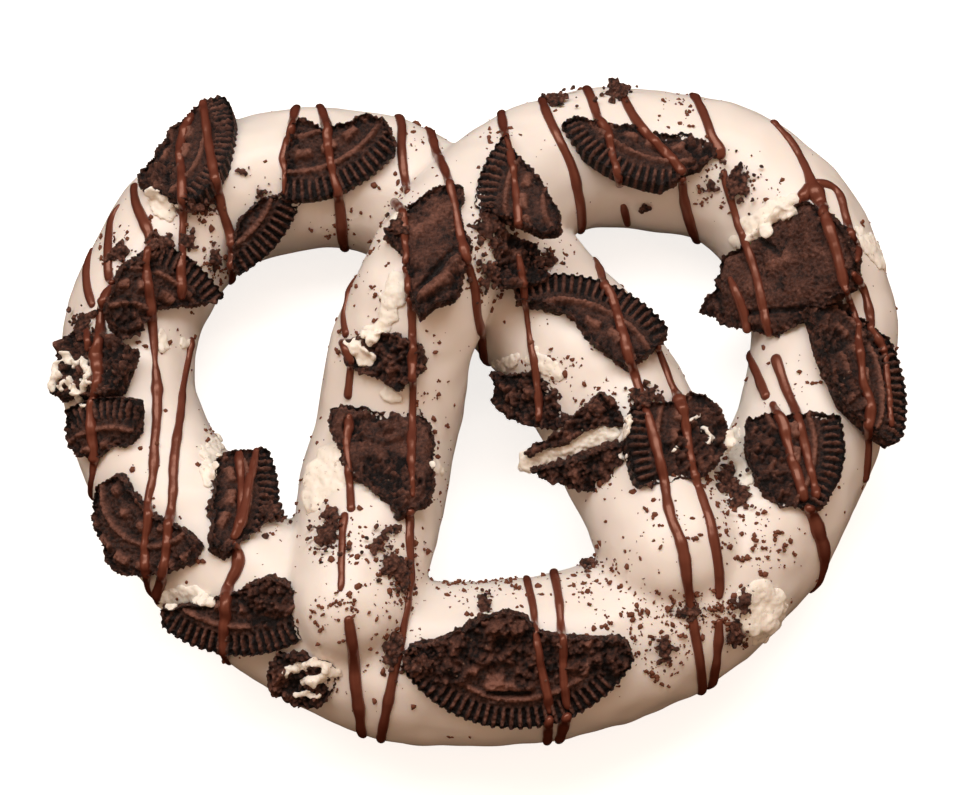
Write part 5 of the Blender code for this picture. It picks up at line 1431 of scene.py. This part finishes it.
class PRETZEL_OT_filling(bpy.types.Operator):
    """Makes the lumps and smears of filling"""

    bl_idname = "pretzel.filling"
    bl_label = "Filling"

    def execute(self, context):
        finish = finish_of("vanilla filling, smeared", vanilla_filling)
        trees = laid_trees()
        draw = random.Random("filling")
        for number, (name, facts) in enumerate(FILLING.items()):
            if "ridges" in facts:
                balls = dabs(trees, facts["ridges"], draw)
            else:
                grain = context.scene.pretzel_filling.grain
                balls = heap(trees["white_chocolate_coating"], facts, grain, draw)
            look = FILLING_LUMP | {"roughness": facts.get("roughness", FILLING_LUMP["roughness"])}
            lump = lumpy_mass("filling_" + name, balls, 40 + number, **look)
            dress(lump, finish, "vanilla_filling", facts["node"])
        smears = lumpy_mass("filling_smears", dabs(trees, SMEARS, draw), 50, **SMEAR)
        dress(smears, finish, "vanilla_filling")
        return {"FINISHED"}


class PRETZEL_OT_stripes(bpy.types.Operator):
    """Pipes the milk chocolate stripes over everything that lies on the coating"""

    bl_idname = "pretzel.stripes"
    bl_label = "Stripes"

    def execute(self, context):
        sizes = context.scene.pretzel_stripes
        trees = laid_trees()
        draw = random.Random("stripes")
        shape = bmesh.new()
        for points in STRIPES:
            for run in stripe_course(trees, points):
                lay_bead(shape, run, sizes, draw)
        stripes = mesh_object("milk_chocolate_stripes", shape)
        dress(stripes, finish_of("milk chocolate, piped", milk_chocolate), None)
        return {"FINISHED"}


class PRETZEL_OT_crumbs(bpy.types.Operator):
    """Strews the clumps and the fine crumbs"""

    bl_idname = "pretzel.crumbs"
    bl_label = "Crumbs"

    def execute(self, context):
        sizes = context.scene.pretzel_crumbs
        clumps = lumpy_mass("crumb_clumps", clumped_grains(laid_trees()), 60, **CRUMB_CLUMP)
        dress(clumps, finish_of("cocoa wafer, baked and broken", cocoa_wafer), "cocoa_wafer")

        ground = bpy.data.objects["white_chocolate_coating"]
        fine = bpy.data.objects.new("fine_crumbs", ground.data.copy())
        context.scene.collection.objects.link(fine)
        places, normals = points_of(fine.data)
        across, up = as_seen(places)
        amount = np.zeros(len(places))
        for x, y, wide, high, density in DUSTINGS:
            reach = np.hypot((across - x) / wide, (up - y) / high)
            amount += density * ease(1.15, 0.4, reach)
        amount *= ease(-0.2, 0.3, normals[:, 2]) * ease(2, 6, places[:, 2] / MM)
        note(fine.data, "dusting", amount)
        shapes = crumb_shapes(7)
        loose = finish_of("cocoa crumb, fine", loose_crumb)
        strew = fine.modifiers.new("strew", "NODES")
        strew.node_group = crumb_scatter_tree(shapes, loose)
        set_inputs(strew, Amount=sizes.amount / (10 * MM) ** 2, Smallest=sizes.smallest,
                   Largest=sizes.largest, Seed=sizes.seed)
        bake(fine)
        for thing in list(shapes.objects):
            drop(thing)
        bpy.data.collections.remove(shapes)
        dress(fine, loose, "cocoa_wafer")
        return {"FINISHED"}


class PRETZEL_OT_stage(bpy.types.Operator):
    """Sets up the floor, the lights and the camera"""

    bl_idname = "pretzel.stage"
    bl_label = "Stage"

    def execute(self, context):
        sizes = context.scene.pretzel_stage
        scene = context.scene
        shape = bmesh.new()
        bmesh.ops.create_grid(shape, x_segments=1, y_segments=1, size=FLOOR_REACH)
        floor = mesh_object("floor", shape)
        floor.data.materials.append(finish_of("paper, matt white", matt_paper))
        floor.visible_diffuse = floor.visible_glossy = False

        world = bpy.data.worlds.new("studio")
        world.use_nodes = True
        tree = world.node_tree
        place = add(tree, "ShaderNodeTexCoord").outputs["Generated"]
        height = add(tree, "ShaderNodeVectorMath", {0: place, 1: FILL_FROM}, operation="DOT_PRODUCT")
        share = ranged(tree, height.outputs["Value"], *FILL_RANGE, sizes.fill_strength)
        aside = worked(tree, "ABSOLUTE", add(tree, "ShaderNodeSeparateXYZ", {0: place}))
        wider = worked(tree, "MULTIPLY_ADD", aside, SIDE_FILL, 1.0)
        strength = worked(tree, "MULTIPLY", share, wider)
        background = tree.nodes["Background"]
        background.inputs["Color"].default_value = hex_colour(FILL_COLOUR)
        tree.links.new(strength.outputs[0], background.inputs["Strength"])
        scene.world = world

        lamp = bpy.data.lights.new("key", "AREA")
        lamp.shape = "RECTANGLE"
        lamp.size, lamp.size_y = KEY_SIZE
        lamp.energy = sizes.key_power
        lamp.color = KEY_COLOUR
        key = bpy.data.objects.new("key", lamp)
        scene.collection.objects.link(key)
        key.location = Vector(KEY_PLACE)
        key.rotation_euler = (Vector(KEY_AIM) - key.location).to_track_quat("-Z", "Y").to_euler()

        camera = bpy.data.objects.new("camera", bpy.data.cameras.new("camera"))
        scene.collection.objects.link(camera)
        camera.data.lens = LENS
        camera.data.sensor_width = SENSOR
        camera.location = EYE
        camera.rotation_euler = Matrix((RIGHT, HIGH, BACK)).transposed().to_euler()
        scene.camera = camera
        scene.view_settings.view_transform = "Standard"
        return {"FINISHED"}


STEPS = [
    (PRETZEL_OT_coating, "pretzel_coat", CoatSizes),
    (PRETZEL_OT_cookies, "pretzel_cookies", CookieSizes),
    (PRETZEL_OT_filling, "pretzel_filling", FillingSizes),
    (PRETZEL_OT_stripes, "pretzel_stripes", StripeSizes),
    (PRETZEL_OT_crumbs, "pretzel_crumbs", CrumbSizes),
    (PRETZEL_OT_stage, "pretzel_stage", StageSizes),
]


class PRETZEL_PT_panel(bpy.types.Panel):
    """Lists what makes the pretzel, with its sizes and colours"""

    bl_idname = "PRETZEL_PT_panel"
    bl_label = "Chocolate Covered Pretzel"
    bl_space_type = "VIEW_3D"
    bl_region_type = "UI"
    bl_category = "Pretzel"

    def draw(self, context):
        for operator, name, group in STEPS:
            box = self.layout.box()
            box.operator(operator.bl_idname)
            for key in group.__annotations__:
                box.prop(getattr(context.scene, name), key)


def register():
    for operator, name, group in STEPS:
        bpy.utils.register_class(group)
        setattr(bpy.types.Scene, name, PointerProperty(type=group))
        bpy.utils.register_class(operator)
    bpy.utils.register_class(PRETZEL_PT_panel)


def unregister():
    bpy.utils.unregister_class(PRETZEL_PT_panel)
    for operator, name, group in reversed(STEPS):
        bpy.utils.unregister_class(operator)
        delattr(bpy.types.Scene, name)
        bpy.utils.unregister_class(group)


def main():
    register()
    bpy.ops.pretzel.coating()
    bpy.ops.pretzel.cookies()
    bpy.ops.pretzel.filling()
    bpy.ops.pretzel.stripes()
    bpy.ops.pretzel.crumbs()
    bpy.ops.pretzel.stage()


if __name__ == "__main__":
    main()
